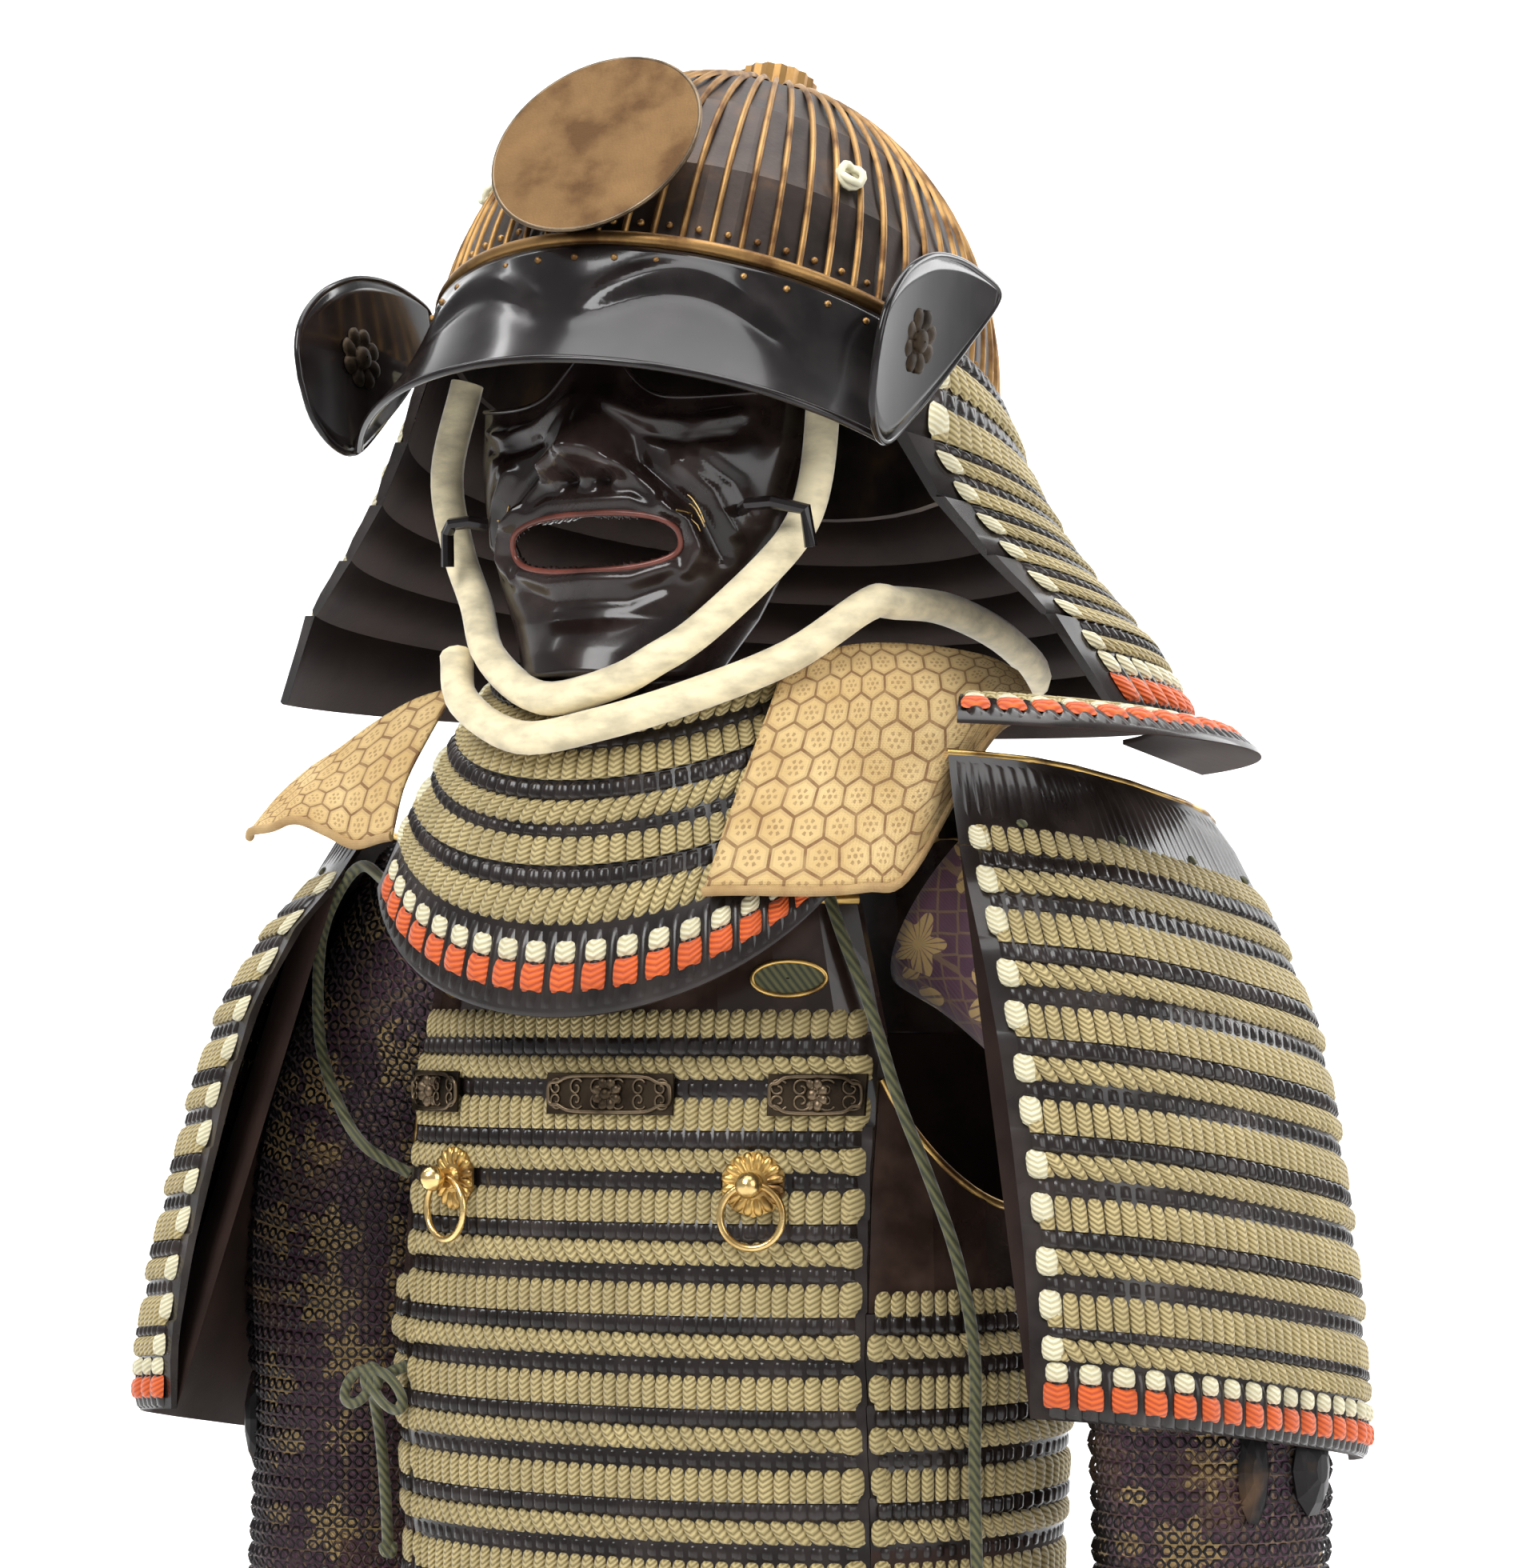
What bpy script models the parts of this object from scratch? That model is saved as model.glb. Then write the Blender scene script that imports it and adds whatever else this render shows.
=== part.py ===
"""Samurai armour, worn size: laced cuirass, helmet, half mask, throat guard, shoulder guards and mailed sleeves.

Everything hangs from the wearer's shoulders. The origin lies between the shoulder straps, at the
base of the neck. The wearer faces -Y and their left side is +X. Driving dimensions are in
millimetres, and the meshes are made in metres.
"""

import math

import bpy
import bmesh
from mathutils import Matrix, Vector

MM = 0.001
GAP = 0.3                     # clearance between neighbouring pieces

# Helmet: the bowl is an ellipse at its rim, tilted back about the wearer's brow
BOWL_HALF_WIDTH = 116.0
BOWL_HALF_LENGTH = 131.0
BOWL_HEIGHT = 135.0
BOWL_CENTRE = Vector((0.0, -3.0, 173.0))
BOWL_TILT = math.radians(19.0)
BOWL_ROUNDNESS = 2.0
BOWL_FACETS = 48
BOWL_RIDGE = 1.6               # how far the plates' flanges stand out
BOWL_WALL = 2.4
TOP_HOLE_RADIUS = 15.0
VISOR_SPREAD = math.radians(62.0)
PLATE = 2.4                   # thickness of a lacquered plate
CREST_RADIUS = 46.0
HELMET_TURN = math.radians(3.5)  # the helmet looks a little to the wearer's left
HELMET_LEAN = math.radians(2.0)  # and leans to that side
HELMET_PIVOT = Vector((0.0, 10.0, 190.0))

# Cuirass: superellipse rings about a vertical axis
TORSO_Y = 10.0
TORSO_ROUNDNESS = 2.3
TORSO_RINGS = (               # level, half width, half depth
    (0.0, 112.0, 100.0),
    (-45.0, 122.0, 106.0),
    (-100.0, 131.0, 109.0),
    (-160.0, 140.0, 112.0),
    (-230.0, 146.0, 112.0),
    (-320.0, 141.0, 109.0),
    (-400.0, 146.0, 114.0),
)
PANEL_HALF_WIDTH = 111.0
LAME_PITCH = 37.5
FRONT_LAMES = 8
FRONT_TOP = -100.0
HEM = FRONT_TOP - LAME_PITCH * FRONT_LAMES
SIDE_LAMES = 5
SIDE_TOP = HEM + LAME_PITCH * SIDE_LAMES
BREAST_TOP = -45.0
BACK_TOP = -15.0
STRAP_X = 70.0
STRAP_WIDTH = 36.0
STRAP_THICKNESS = 4.0

# One laced lame: how far down it, and how proud of the wall, each line of its face lies
LAME_FACE = ((0.0, 3.4), (0.27, 2.4), (0.42, 4.6), (0.60, 1.8))
WALL = 2.5

SLEEVE_WALL = 1.8
CORD_DIAMETER = 14.0
TIE_DIAMETER = 5.0
RING_RADIUS = 12.8
RING_THICKNESS = 3.0
RING_X = 72.0
RING_LEVEL = -160.0
TASSETS = 7
TASSET_LAMES = 5
TASSET_LACES = 14.0           # the laces between hem and tasset
TASSET_DROP = 229.0


def material(name, colour, roughness, metallic=0.0):
    """A Principled material of one colour."""
    made = bpy.data.materials.new(name)
    made.use_nodes = True
    shader = made.node_tree.nodes["Principled BSDF"]
    shader.inputs["Base Color"].default_value = (*colour, 1.0)
    shader.inputs["Roughness"].default_value = roughness
    shader.inputs["Metallic"].default_value = metallic
    return made


def clear_scene():
    """Removes what the startup scene holds."""
    for old in list(bpy.data.objects):
        bpy.data.objects.remove(old, do_unlink=True)


def add(name, mesh, finish, smooth=35.0):
    """Puts a mesh in the armour's collection as a named object."""
    mesh.materials.append(finish)
    mesh.shade_smooth()
    mesh.set_sharp_from_angle(angle=math.radians(smooth))
    made = bpy.data.objects.new(name, mesh)
    bpy.data.collections["samurai_armour"].objects.link(made)
    return made


def loft(name, sections, finish, closed=False, smooth=35.0):
    """One closed solid through sections, each a closed loop of points in millimetres.

    An open loft is capped at its first and last section, a closed one joins them.
    """
    shape = bmesh.new()
    loops = [[shape.verts.new(Vector(point) * MM) for point in section] for section in sections]
    count = len(loops[0])
    pairs = list(zip(loops, loops[1:])) + ([(loops[-1], loops[0])] if closed else [])
    for near, far in pairs:
        for i in range(count):
            j = (i + 1) % count
            shape.faces.new((near[i], near[j], far[j], far[i]))
    if not closed:
        shape.faces.new(loops[0])
        shape.faces.new(loops[-1])
    bmesh.ops.recalc_face_normals(shape, faces=shape.faces)
    mesh = bpy.data.meshes.new(name)
    shape.to_mesh(mesh)
    shape.free()
    return add(name, mesh, finish, smooth)


def tube(name, points, diameter, finish, resolution=2, closed=False):
    """A round rod or cord through points in millimetres, with filled ends."""
    line = bpy.data.curves.new(name, "CURVE")
    line.dimensions = "3D"
    spline = line.splines.new("POLY")
    spline.points.add(len(points) - 1)
    for place, point in zip(spline.points, points):
        place.co = (*(Vector(point) * MM), 1.0)
    spline.use_cyclic_u = closed
    line.bevel_depth = diameter / 2 * MM
    line.bevel_resolution = resolution
    line.use_fill_caps = True
    line.materials.append(finish)
    made = bpy.data.objects.new(name, line)
    bpy.data.collections["samurai_armour"].objects.link(made)
    return made


def mix(start, end, share):
    """The number that lies this share of the way from start to end."""
    return start + (end - start) * share


def steps(count):
    """Shares from 0 to 1, one more than count."""
    return [i / count for i in range(count + 1)]


def along(table, key):
    """A row of numbers read from a table by its first column, which falls or rises, with straight runs between rows."""
    rising = table[0][0] < table[-1][0]
    rows = table if rising else table[::-1]
    if key <= rows[0][0]:
        return rows[0][1:]
    for low, high in zip(rows, rows[1:]):
        if key <= high[0]:
            share = (key - low[0]) / (high[0] - low[0])
            return tuple(mix(a, b, share) for a, b in zip(low[1:], high[1:]))
    return rows[-1][1:]


def smooth_route(points, per_span):
    """Points on a smooth curve through the given ones, per_span to each stretch between two of them."""
    rows = [Vector(p) for p in points]
    ends = [rows[0] * 2 - rows[1], *rows, rows[-1] * 2 - rows[-2]]
    route = []
    for a, b, c, d in zip(ends, ends[1:], ends[2:], ends[3:]):
        for i in range(per_span):
            t = i / per_span
            route.append(
                0.5 * ((2 * b) + (c - a) * t + (2 * a - 5 * b + 4 * c - d) * t * t
                       + (3 * b - a - 3 * c + d) * t * t * t)
            )
    return route + [rows[-1]]


def mirrored(points):
    """The same points on the wearer's other side."""
    return [Vector((-p[0], p[1], p[2])) for p in points]


def lame_rows(top, bottom, lames):
    """(level, offset) down the face of a laced wall: each lame's head stands out, then its braids, then it dips under the next."""
    rows = []
    for i in range(lames):
        start = mix(top, bottom, i / lames)
        end = mix(top, bottom, (i + 1) / lames)
        rows += [(mix(start, end, share), proud) for share, proud in LAME_FACE]
    return rows + [(bottom, 2.3)]


def laced_section(place, top, bottom, lames):
    """One section of a laced wall. place(level, offset) gives a point, offset outwards from the wall's middle."""
    outer = [place(level, proud) for level, proud in lame_rows(top, bottom, lames)]
    inner = [place(level, -WALL / 2) for level in (bottom, mix(top, bottom, 0.66), mix(top, bottom, 0.33), top)]
    return outer + inner


def helmet(x, y, z):
    """A point given on the helmet, whose rim lies level, in its tilted place on the head."""
    cosine, sine = math.cos(BOWL_TILT), math.sin(BOWL_TILT)
    return BOWL_CENTRE + Vector((x, y * cosine + z * sine, z * cosine - y * sine))


def bowl_point(turn, rise, offset):
    """A point on the bowl. turn is the angle round it, rise the angle up from the rim."""
    across = math.cos(rise) ** (2 / BOWL_ROUNDNESS)
    height = math.sin(rise) ** (2 / BOWL_ROUNDNESS) if rise > 0 else 0.0
    across = max(across, TOP_HOLE_RADIUS / BOWL_HALF_WIDTH)
    return helmet(
        (BOWL_HALF_WIDTH + offset) * across * math.cos(turn),
        (BOWL_HALF_LENGTH + offset) * across * math.sin(turn),
        (BOWL_HEIGHT + offset) * height,
    )


def build_bowl(finish):
    """The bowl of riveted plates, open at the crown and below."""
    rises = [math.radians(a) for a in (0, 20, 40, 58, 73, 84)]
    inner_rises = [math.radians(a) for a in (84, 58, 30, 0)]
    sections = []
    for i in range(BOWL_FACETS):
        turn = math.tau * i / BOWL_FACETS
        outer = [bowl_point(turn, rise, BOWL_RIDGE / 2) for rise in rises]
        inner = [bowl_point(turn, rise, -BOWL_WALL) for rise in inner_rises]
        sections.append(outer + inner)
    loft("helmet_bowl", sections, finish, closed=True, smooth=20.0)


def build_top_ring(finish):
    """The pierced crown ring that stands on the bowl's top hole."""
    petals = 18
    sections = []
    for i in range(2 * petals):
        turn = math.tau * i / (2 * petals)
        flare = 1.2 if i % 2 == 0 else 0.0
        profile = ((15.2, 3.6), (16.6 + flare, 3.6), (16.2 + flare, 18.6), (10.0, 18.6), (10.0, 3.6))
        sections.append([
            helmet(r * math.cos(turn), r * math.sin(turn), BOWL_HEIGHT + z - 4.65 + BOWL_RIDGE) for r, z in profile
        ])
    loft("helmet_top_ring", sections, finish, closed=True)


def visor_point(share, fall, offset):
    """A point on the visor: share from -1 to 1 round the brow, fall from 0 at the rim to 1 at the lip."""
    turn = share * VISOR_SPREAD
    bend = (1 - math.cos(turn)) / (1 - math.cos(VISOR_SPREAD))
    sine = math.sin(turn) / math.sin(VISOR_SPREAD)
    grow = BOWL_RIDGE / 2 + 2 * GAP + offset
    top = helmet((BOWL_HALF_WIDTH + grow) * math.sin(turn), -(BOWL_HALF_LENGTH + grow) * math.cos(turn), 1.5)
    lip = Vector(((120.0 + offset) * sine, -158.0 - offset + 64.0 * bend, 169.0 - 27.0 * bend))
    bulge = 4.0 * math.sin(math.pi * fall)
    outward = Vector((math.sin(turn), -math.cos(turn), 0.0))
    return top.lerp(lip, fall) - outward * bulge


def build_visor(finish):
    """The brow plate, riveted round the front of the rim."""
    sections = []
    for share in steps(16):
        side = 2 * share - 1
        outer = [visor_point(side, fall, PLATE) for fall in (0.0, 0.5, 1.0)]
        inner = [visor_point(side, fall, 0.0) for fall in (1.0, 0.5, 0.0)]
        sections.append(outer + inner)
    loft("visor", sections, finish)


TURNBACK_EDGES = (            # along Y, lower level, upper level
    (-125.0, 169.0, 182.0), (-120.0, 153.0, 194.0), (-108.0, 142.5, 205.0), (-94.0, 141.0, 212.0),
    (-76.0, 152.0, 217.0), (-53.0, 170.0, 218.0), (-32.0, 190.0, 215.0), (-18.0, 205.0, 211.0),
)


def build_turnback(name, side, finish):
    """An ear of the helmet: the end of the top neck lame, turned out beside the visor."""
    def place(y, z, depth):
        lean = 121.4 + (z - 140.0) * 0.16 + depth + 0.0012 * (y + 60.0) ** 2
        return (side * lean, y, z)
    sections = [[place(y, low, 0.0), place(y, high, 0.0), place(y, high, PLATE), place(y, low, PLATE)]
                for y, low, high in TURNBACK_EDGES]
    loft(name, sections, finish)


def build_crest(disc_finish, bracket_finish):
    """The plain round crest and the bracket on the brow that carries it."""
    centre, tilt = Vector((0.0, -116.0, 261.0)), math.radians(32.0)
    up = Vector((0.0, math.sin(tilt), math.cos(tilt)))
    back = Vector((0.0, math.cos(tilt), -math.sin(tilt)))

    def rim(depth):
        turns = [math.tau * i / 32 for i in range(32)]
        return [
            centre + Vector((CREST_RADIUS * math.cos(turn), 0.0, 0.0)) + up * (CREST_RADIUS * math.sin(turn)) + back * depth
            for turn in turns
        ]

    loft("crest_disc", [rim(-1.6), rim(0.0)], disc_finish)

    def behind(rise, depth):
        return centre + up * rise + back * depth

    half = 8.0
    profile = (
        Vector((0.0, -122.8, 226.5)), Vector((0.0, -131.0, 225.0)), behind(-38.0, GAP), behind(-14.0, GAP),
        behind(-14.0, 2.4), behind(-33.0, 2.8), Vector((0.0, -119.2, 234.5)),
    )
    loft("crest_bracket", [[point + Vector((x, 0.0, 0.0)) for point in profile] for x in (-half, half)], bracket_finish)


NECK_LAMES = 5
NECK_LEVELS = (               # lame edge, half width, half depth, centre y, front z, back z, front edge y
    (0.0, 118.2, 126.4, -3.0, 197.0, 137.5, -50.0),
    (1.0, 135.0, 140.0, 4.0, 148.0, 112.0, -68.0),
    (2.0, 148.0, 149.0, 7.0, 122.0, 95.0, -62.0),
    (3.0, 165.0, 158.0, 10.0, 99.0, 77.0, -54.0),
    (4.0, 184.0, 168.0, 12.0, 76.0, 60.0, -44.0),
    (5.0, 202.0, 178.0, 14.0, 38.0, 36.0, -28.0),
)
NECK_OVERLAP = 0.34           # share of a lame's height that its neighbour below covers


def neck_point(level, share, offset):
    """A point on the neck guard: level counts lames from the rim, share runs from its left edge round the back to its right."""
    wide, deep, middle, front_z, back_z, edge = along(NECK_LEVELS, level)
    wide, deep = wide + offset, deep + offset
    edge_sine = max(-0.98, (edge - middle) / deep)
    start = math.asin(edge_sine)
    turn = mix(start, math.pi - start, share)
    y = middle + deep * math.sin(turn)
    fall = (math.sin(turn) - edge_sine) / (1 - edge_sine)
    return Vector((wide * math.cos(turn), y, mix(front_z, back_z, fall)))


def build_neck_guard(finish):
    """Five lames that flare round the neck, each tucked under the head of the one below."""
    for i in range(NECK_LAMES):
        top = i + 0.0
        bottom = i + 1.0 + (NECK_OVERLAP if i < NECK_LAMES - 1 else 0.0)
        sections = []
        for share in steps(16):
            outer = [neck_point(mix(top, i + 1.0, down), share, 1.5 + proud) for down, proud in LAME_FACE]
            if i < NECK_LAMES - 1:
                outer += [neck_point(i + 0.985, share, -0.2), neck_point(bottom, share, -2.5)]
            else:
                outer += [neck_point(i + 0.93, share, 2.2), neck_point(bottom, share, 1.5)]
            inner = [neck_point(bottom, share, -5.4 if i < NECK_LAMES - 1 else -1.0), neck_point(top, share, 0.6)]
            sections.append(outer + inner)
        loft(f"neck_lame_{i + 1}", sections, finish)


MASK_LEVELS = (               # level, half width, front y, rear y
    (43.0, 38.0, -110.0, -68.0),
    (47.0, 43.0, -121.0, -64.0),
    (56.0, 48.0, -117.0, -60.0),
    (70.0, 57.0, -107.0, -56.0),
    (88.0, 66.0, -107.0, -52.0),
    (112.0, 74.0, -108.0, -48.0),
    (140.0, 79.0, -104.0, -47.0),
    (170.0, 79.0, -99.0, -47.0),
    (190.0, 79.0, -96.0, -47.0),
)
MASK_BOTTOM = 43.0
MASK_BRIDGE = 184.0
MASK_CHEEK = 158.0
MASK_SPREAD = math.radians(84.0)
NOSE_REACH = 18.0
MOUTH_HALF_WIDTH = 40.0
MOUTH_LEVEL = 101.0
MOUTH_HALF_HEIGHT = 11.0


def mask_point(side, rise):
    """A point on the mask: side from -1 to 1 across it, rise from 0 at the chin to 1 at its top edge."""
    turn = side * MASK_SPREAD
    bridge = math.exp(-((side / 0.16) ** 2))
    top = mix(MASK_CHEEK + 7.0 * side * side, MASK_BRIDGE, bridge)
    z = mix(MASK_BOTTOM, top, rise)
    wide, front, rear = along(MASK_LEVELS, z)
    x = wide * math.sin(turn)
    nose_fall = math.exp(-(((z - 140.0) / (9.0 if z < 140.0 else 26.0)) ** 2))
    nose = NOSE_REACH * nose_fall * math.exp(-((x / 17.0) ** 2))
    cheek = 4.0 * math.exp(-(((abs(x) - 50.0) / 14.0) ** 2) - ((z - 132.0) / 14.0) ** 2)
    brow = 3.0 * math.exp(-(((abs(x) - 32.0) / 12.0) ** 2) - ((z - 156.0) / 6.0) ** 2)
    y = mix(rear, front, math.cos(turn) ** 0.8) - nose - cheek - brow
    return Vector((x, y, z))


def cutter(name, sections):
    """A solid that only cuts."""
    made = loft(name, sections, material(name, (0.5, 0.5, 0.5), 0.5))
    made.hide_render = True
    made.display_type = "WIRE"
    bpy.data.collections["samurai_armour"].objects.unlink(made)
    bpy.data.collections["cutters"].objects.link(made)
    return made


def build_mask(finish):
    """The half mask: a shell over cheeks, nose and chin, with an open mouth."""
    columns, rows = 17, 13
    shape = bmesh.new()
    bmesh.ops.create_grid(shape, x_segments=columns, y_segments=rows, size=1.0)
    for vert in shape.verts:
        vert.co = mask_point(vert.co.x, (vert.co.y + 1) / 2) * MM
    bmesh.ops.recalc_face_normals(shape, faces=shape.faces)
    if sum((face.normal.y for face in shape.faces)) > 0:
        bmesh.ops.reverse_faces(shape, faces=shape.faces)
    mesh = bpy.data.meshes.new("mask")
    shape.to_mesh(mesh)
    shape.free()
    mask = add("mask", mesh, finish)
    shell = mask.modifiers.new("Shell", "SOLIDIFY")
    shell.thickness = 2.2 * MM
    shell.offset = -1.0
    outline = [
        (MOUTH_HALF_WIDTH * math.copysign(abs(math.cos(a)) ** 0.6, math.cos(a)),
         MOUTH_LEVEL + MOUTH_HALF_HEIGHT * math.copysign(abs(math.sin(a)) ** 0.6, math.sin(a)))
        for a in [math.tau * i / 16 + 0.01 for i in range(16)]
    ]
    mouth = cutter("mouth_opening", [[(x, y, z) for x, z in outline] for y in (-130.0, -60.0)])
    cut = mask.modifiers.new("Mouth", "BOOLEAN")
    cut.operation = "DIFFERENCE"
    cut.object = mouth


HOOK_DIAMETER = 5.5
HOOK_LEFT = (                 # out of the cheek, over the cord, then down
    (61.5, -87.0, 113.0), (70.0, -96.0, 114.0), (82.0, -98.0, 114.0), (94.0, -92.0, 111.0), (95.5, -90.0, 96.0),
)
HOOK_RIGHT = (
    (-61.7, -87.4, 113.0), (-67.0, -93.0, 114.0), (-75.0, -94.0, 113.5), (-78.5, -92.0, 110.0), (-79.0, -91.0, 96.0),
)


def build_mask_hooks(finish):
    """The bent rods on the cheeks that the helmet cord is led behind."""
    tube("mask_hook_left", smooth_route(HOOK_LEFT, 1), HOOK_DIAMETER, finish)
    tube("mask_hook_right", smooth_route(HOOK_RIGHT, 1), HOOK_DIAMETER, finish)


THROAT_LAMES = 3
THROAT_SPREAD = math.radians(70.0)
THROAT_LEVELS = (             # lame edge, front y, front z, end x, end y, end z
    (0.0, -104.5, 40.4, 70.0, -56.0, 56.0),
    (1.0, -113.0, 3.0, 86.0, -68.0, 30.0),
    (2.0, -119.0, -32.0, 99.0, -82.0, -1.0),
    (3.0, -131.0, -93.0, 110.0, -95.0, -40.0),
)


def throat_point(level, side, offset):
    """A point on the throat guard: level counts lames down, side runs from -1 to 1 round the neck."""
    front_y, front_z, end_x, end_y, end_z = along(THROAT_LEVELS, level)
    turn = side * THROAT_SPREAD
    bend = (1 - math.cos(turn)) / (1 - math.cos(THROAT_SPREAD))
    x = end_x * math.sin(turn) / math.sin(THROAT_SPREAD)
    point = Vector((x, mix(front_y, end_y, bend), mix(front_z, end_z, bend)))
    return point + Vector((math.sin(turn) * 0.7, -math.cos(turn), 0.16)) * offset


def build_throat_guard(finish):
    """Three curved lames that hang from the mask over the throat."""
    for i in range(THROAT_LAMES):
        last = i == THROAT_LAMES - 1
        top, bottom = i + 0.0, i + (1.0 if last else 1.24)
        sections = []
        for share in steps(12):
            side = 2 * share - 1
            outer = [throat_point(mix(top, i + 1.0, down), side, proud + 0.6) for down, proud in LAME_FACE]
            if last:
                outer += [throat_point(i + 0.96, side, 2.2), throat_point(bottom, side, 1.6)]
            else:
                outer += [throat_point(i + 0.975, side, -0.5), throat_point(bottom, side, -1.6)]
            inner = [throat_point(bottom, side, -0.6 if last else -3.6), throat_point(top, side, 0.6)]
            sections.append(outer + inner)
        loft(f"throat_lame_{i + 1}", sections, finish)


def torso_depth(z, x, offset):
    """How far in front of the torso's axis its wall lies at a level and a distance from the middle."""
    wide, deep = along(TORSO_RINGS, z)
    share = min(abs(x) / (wide + offset), 1.0)
    return (deep + offset) * (1 - share ** TORSO_ROUNDNESS) ** (1 / TORSO_ROUNDNESS)


def torso_side(z, turn_share, offset, edge):
    """A point on the wearer's left side wall, from the front panel's edge at share 0 to the back panel's at 1."""
    wide, deep = along(TORSO_RINGS, z)
    wide, deep = wide + offset, deep + offset
    last = math.acos((edge / wide) ** (TORSO_ROUNDNESS / 2))
    turn = mix(-last, last, turn_share)
    sine = math.copysign(abs(math.sin(turn)) ** (2 / TORSO_ROUNDNESS), math.sin(turn))
    return Vector((wide * math.cos(turn) ** (2 / TORSO_ROUNDNESS), TORSO_Y + deep * sine, z))


def build_cuirass(lacing, lacquer):
    """The cuirass: plain breast and back plates above laced panels, with laced sides under the arms."""
    def panel(facing, columns, top, bottom, lames, half_width):
        """Sections of a wall across the front (facing -1) or the back (facing 1)."""
        sections = []
        for share in steps(columns):
            def place(level, offset):
                x = half_width(level) * math.sin((2 * share - 1) * 1.2) / math.sin(1.2)
                return Vector((x, TORSO_Y + facing * torso_depth(level, x, offset), level))
            if lames:
                sections.append(laced_section(place, top, bottom, lames))
            else:
                levels = [mix(top, bottom, s) for s in steps(2)]
                outer = [place(level, WALL / 2) for level in levels]
                sections.append(outer + [place(level, -WALL / 2) for level in levels[::-1]])
        return sections

    def full(level):
        return PANEL_HALF_WIDTH

    def shoulder(level):
        return mix(PANEL_HALF_WIDTH - 11.0, PANEL_HALF_WIDTH, min(1.0, (BREAST_TOP - level) / 55.0))

    seam = FRONT_TOP + GAP
    loft("breast_plate", panel(-1, 10, BREAST_TOP, seam, 0, shoulder), lacquer)
    loft("back_plate", panel(1, 10, BACK_TOP, seam, 0, shoulder), lacquer)
    loft("cuirass_front", panel(-1, 10, FRONT_TOP, HEM, FRONT_LAMES, full), lacing)
    loft("cuirass_back", panel(1, 9, FRONT_TOP, HEM, FRONT_LAMES, full), lacing)

    for name, side in (("left", 1), ("right", -1)):
        edge = PANEL_HALF_WIDTH + GAP
        def turned(point, way=side):
            return Vector((way * point.x, point.y, point.z))
        sections, guard = [], []
        for share in steps(6):
            def place(level, offset, share=share):
                return turned(torso_side(level, share, offset, edge))
            sections.append(laced_section(place, SIDE_TOP, HEM, SIDE_LAMES))
            rim = mix(-172.0, -118.0, abs(2 * share - 1) ** 2)
            levels = (rim, mix(rim, SIDE_TOP, 0.5), SIDE_TOP + GAP)
            guard.append([place(z, WALL / 2) for z in levels] + [place(z, -WALL / 2) for z in levels[::-1]])
        loft(f"cuirass_side_{name}", sections, lacing)
        loft(f"side_guard_{name}", guard, lacquer)


STRAP_ROUTE = (               # inner edge y, level of the underside, how much further back the outer edge lies
    (-89.5, -44.4, 19.0), (-86.0, -24.0, 17.0), (-68.0, -2.0, 10.0), (-30.0, 8.0, 3.0),
    (20.0, 9.0, 0.0), (62.0, 5.0, -6.0), (92.0, -3.0, -16.0), (102.5, -14.4, -20.0),
)


def build_straps(finish):
    """The shoulder straps that carry the cuirass, from the breast plate to the back plate."""
    for name, side in (("left", 1), ("right", -1)):
        sections = []
        for i, (y, z, skew) in enumerate(STRAP_ROUTE):
            before, after = STRAP_ROUTE[max(i - 1, 0)], STRAP_ROUTE[min(i + 1, len(STRAP_ROUTE) - 1)]
            run = Vector((0.0, after[0] - before[0], after[1] - before[1])).normalized()
            up = Vector((0.0, -run.z, run.y)) * STRAP_THICKNESS
            inner = Vector((side * (STRAP_X - STRAP_WIDTH / 2), y, z))
            outer = inner + Vector((side * STRAP_WIDTH, skew, 0.0))
            sections.append([inner, outer, outer + up, inner + up])
        loft(f"shoulder_strap_{name}", sections, finish)


GUARD_EDGES = (               # level, x and y of the front edge, size of the curve round the arm
    (14.0, 139.0, -55.0, 0.85),
    (-18.0, 149.0, -67.0, 0.92),
    (-40.0, 162.0, -82.0, 0.96),
    (-71.0, 175.0, -93.0, 1.0),
    (-105.0, 185.0, -99.0, 1.0),
    (-142.0, 193.0, -104.0, 1.0),
    (-178.0, 200.0, -109.0, 1.0),
    (-216.0, 205.0, -113.0, 1.0),
    (-264.0, 206.0, -114.0, 1.0),
)
GUARD_CURVE = (               # distance round the arm, steps outwards and back from the front edge, way the face looks
    (0.0, 0.0, 0.0, 27.0),
    (15.0, 13.4, 6.8, 29.0),
    (42.0, 34.7, 22.8, 48.0),
    (69.0, 48.7, 45.5, 68.0),
    (109.0, 59.5, 84.1, 78.0),
    (162.0, 65.6, 137.3, 90.0),
    (189.0, 64.7, 164.1, 98.0),
    (215.0, 58.0, 189.0, 113.0),
    (240.0, 44.8, 210.2, 126.0),
)
GUARD_LAMES = 6
GUARD_TOP = -24.0
GUARD_BOTTOM = -247.0
GUARD_LOWER = {1: 0.0, -1: 14.0}   # the right guard hangs lower, as the arms are posed
GUARD_CLOSER = {1: 0.0, -1: 0.85}
GUARD_DROOP = 0.15            # how much lower the guard hangs, for each millimetre towards the back


def guard_point(level, reach, offset, side):
    """A point on a shoulder guard: reach is the distance from its front edge round the arm."""
    x, y, size = along(GUARD_EDGES, level)
    out, back, looks = along(GUARD_CURVE, reach)
    looks = math.radians(looks)
    x += out * size + offset * math.sin(looks) - GUARD_CLOSER[side]
    y += back * size - offset * math.cos(looks)
    return Vector((side * x, y, level - GUARD_LOWER[side] - GUARD_DROOP * back * size))


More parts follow.
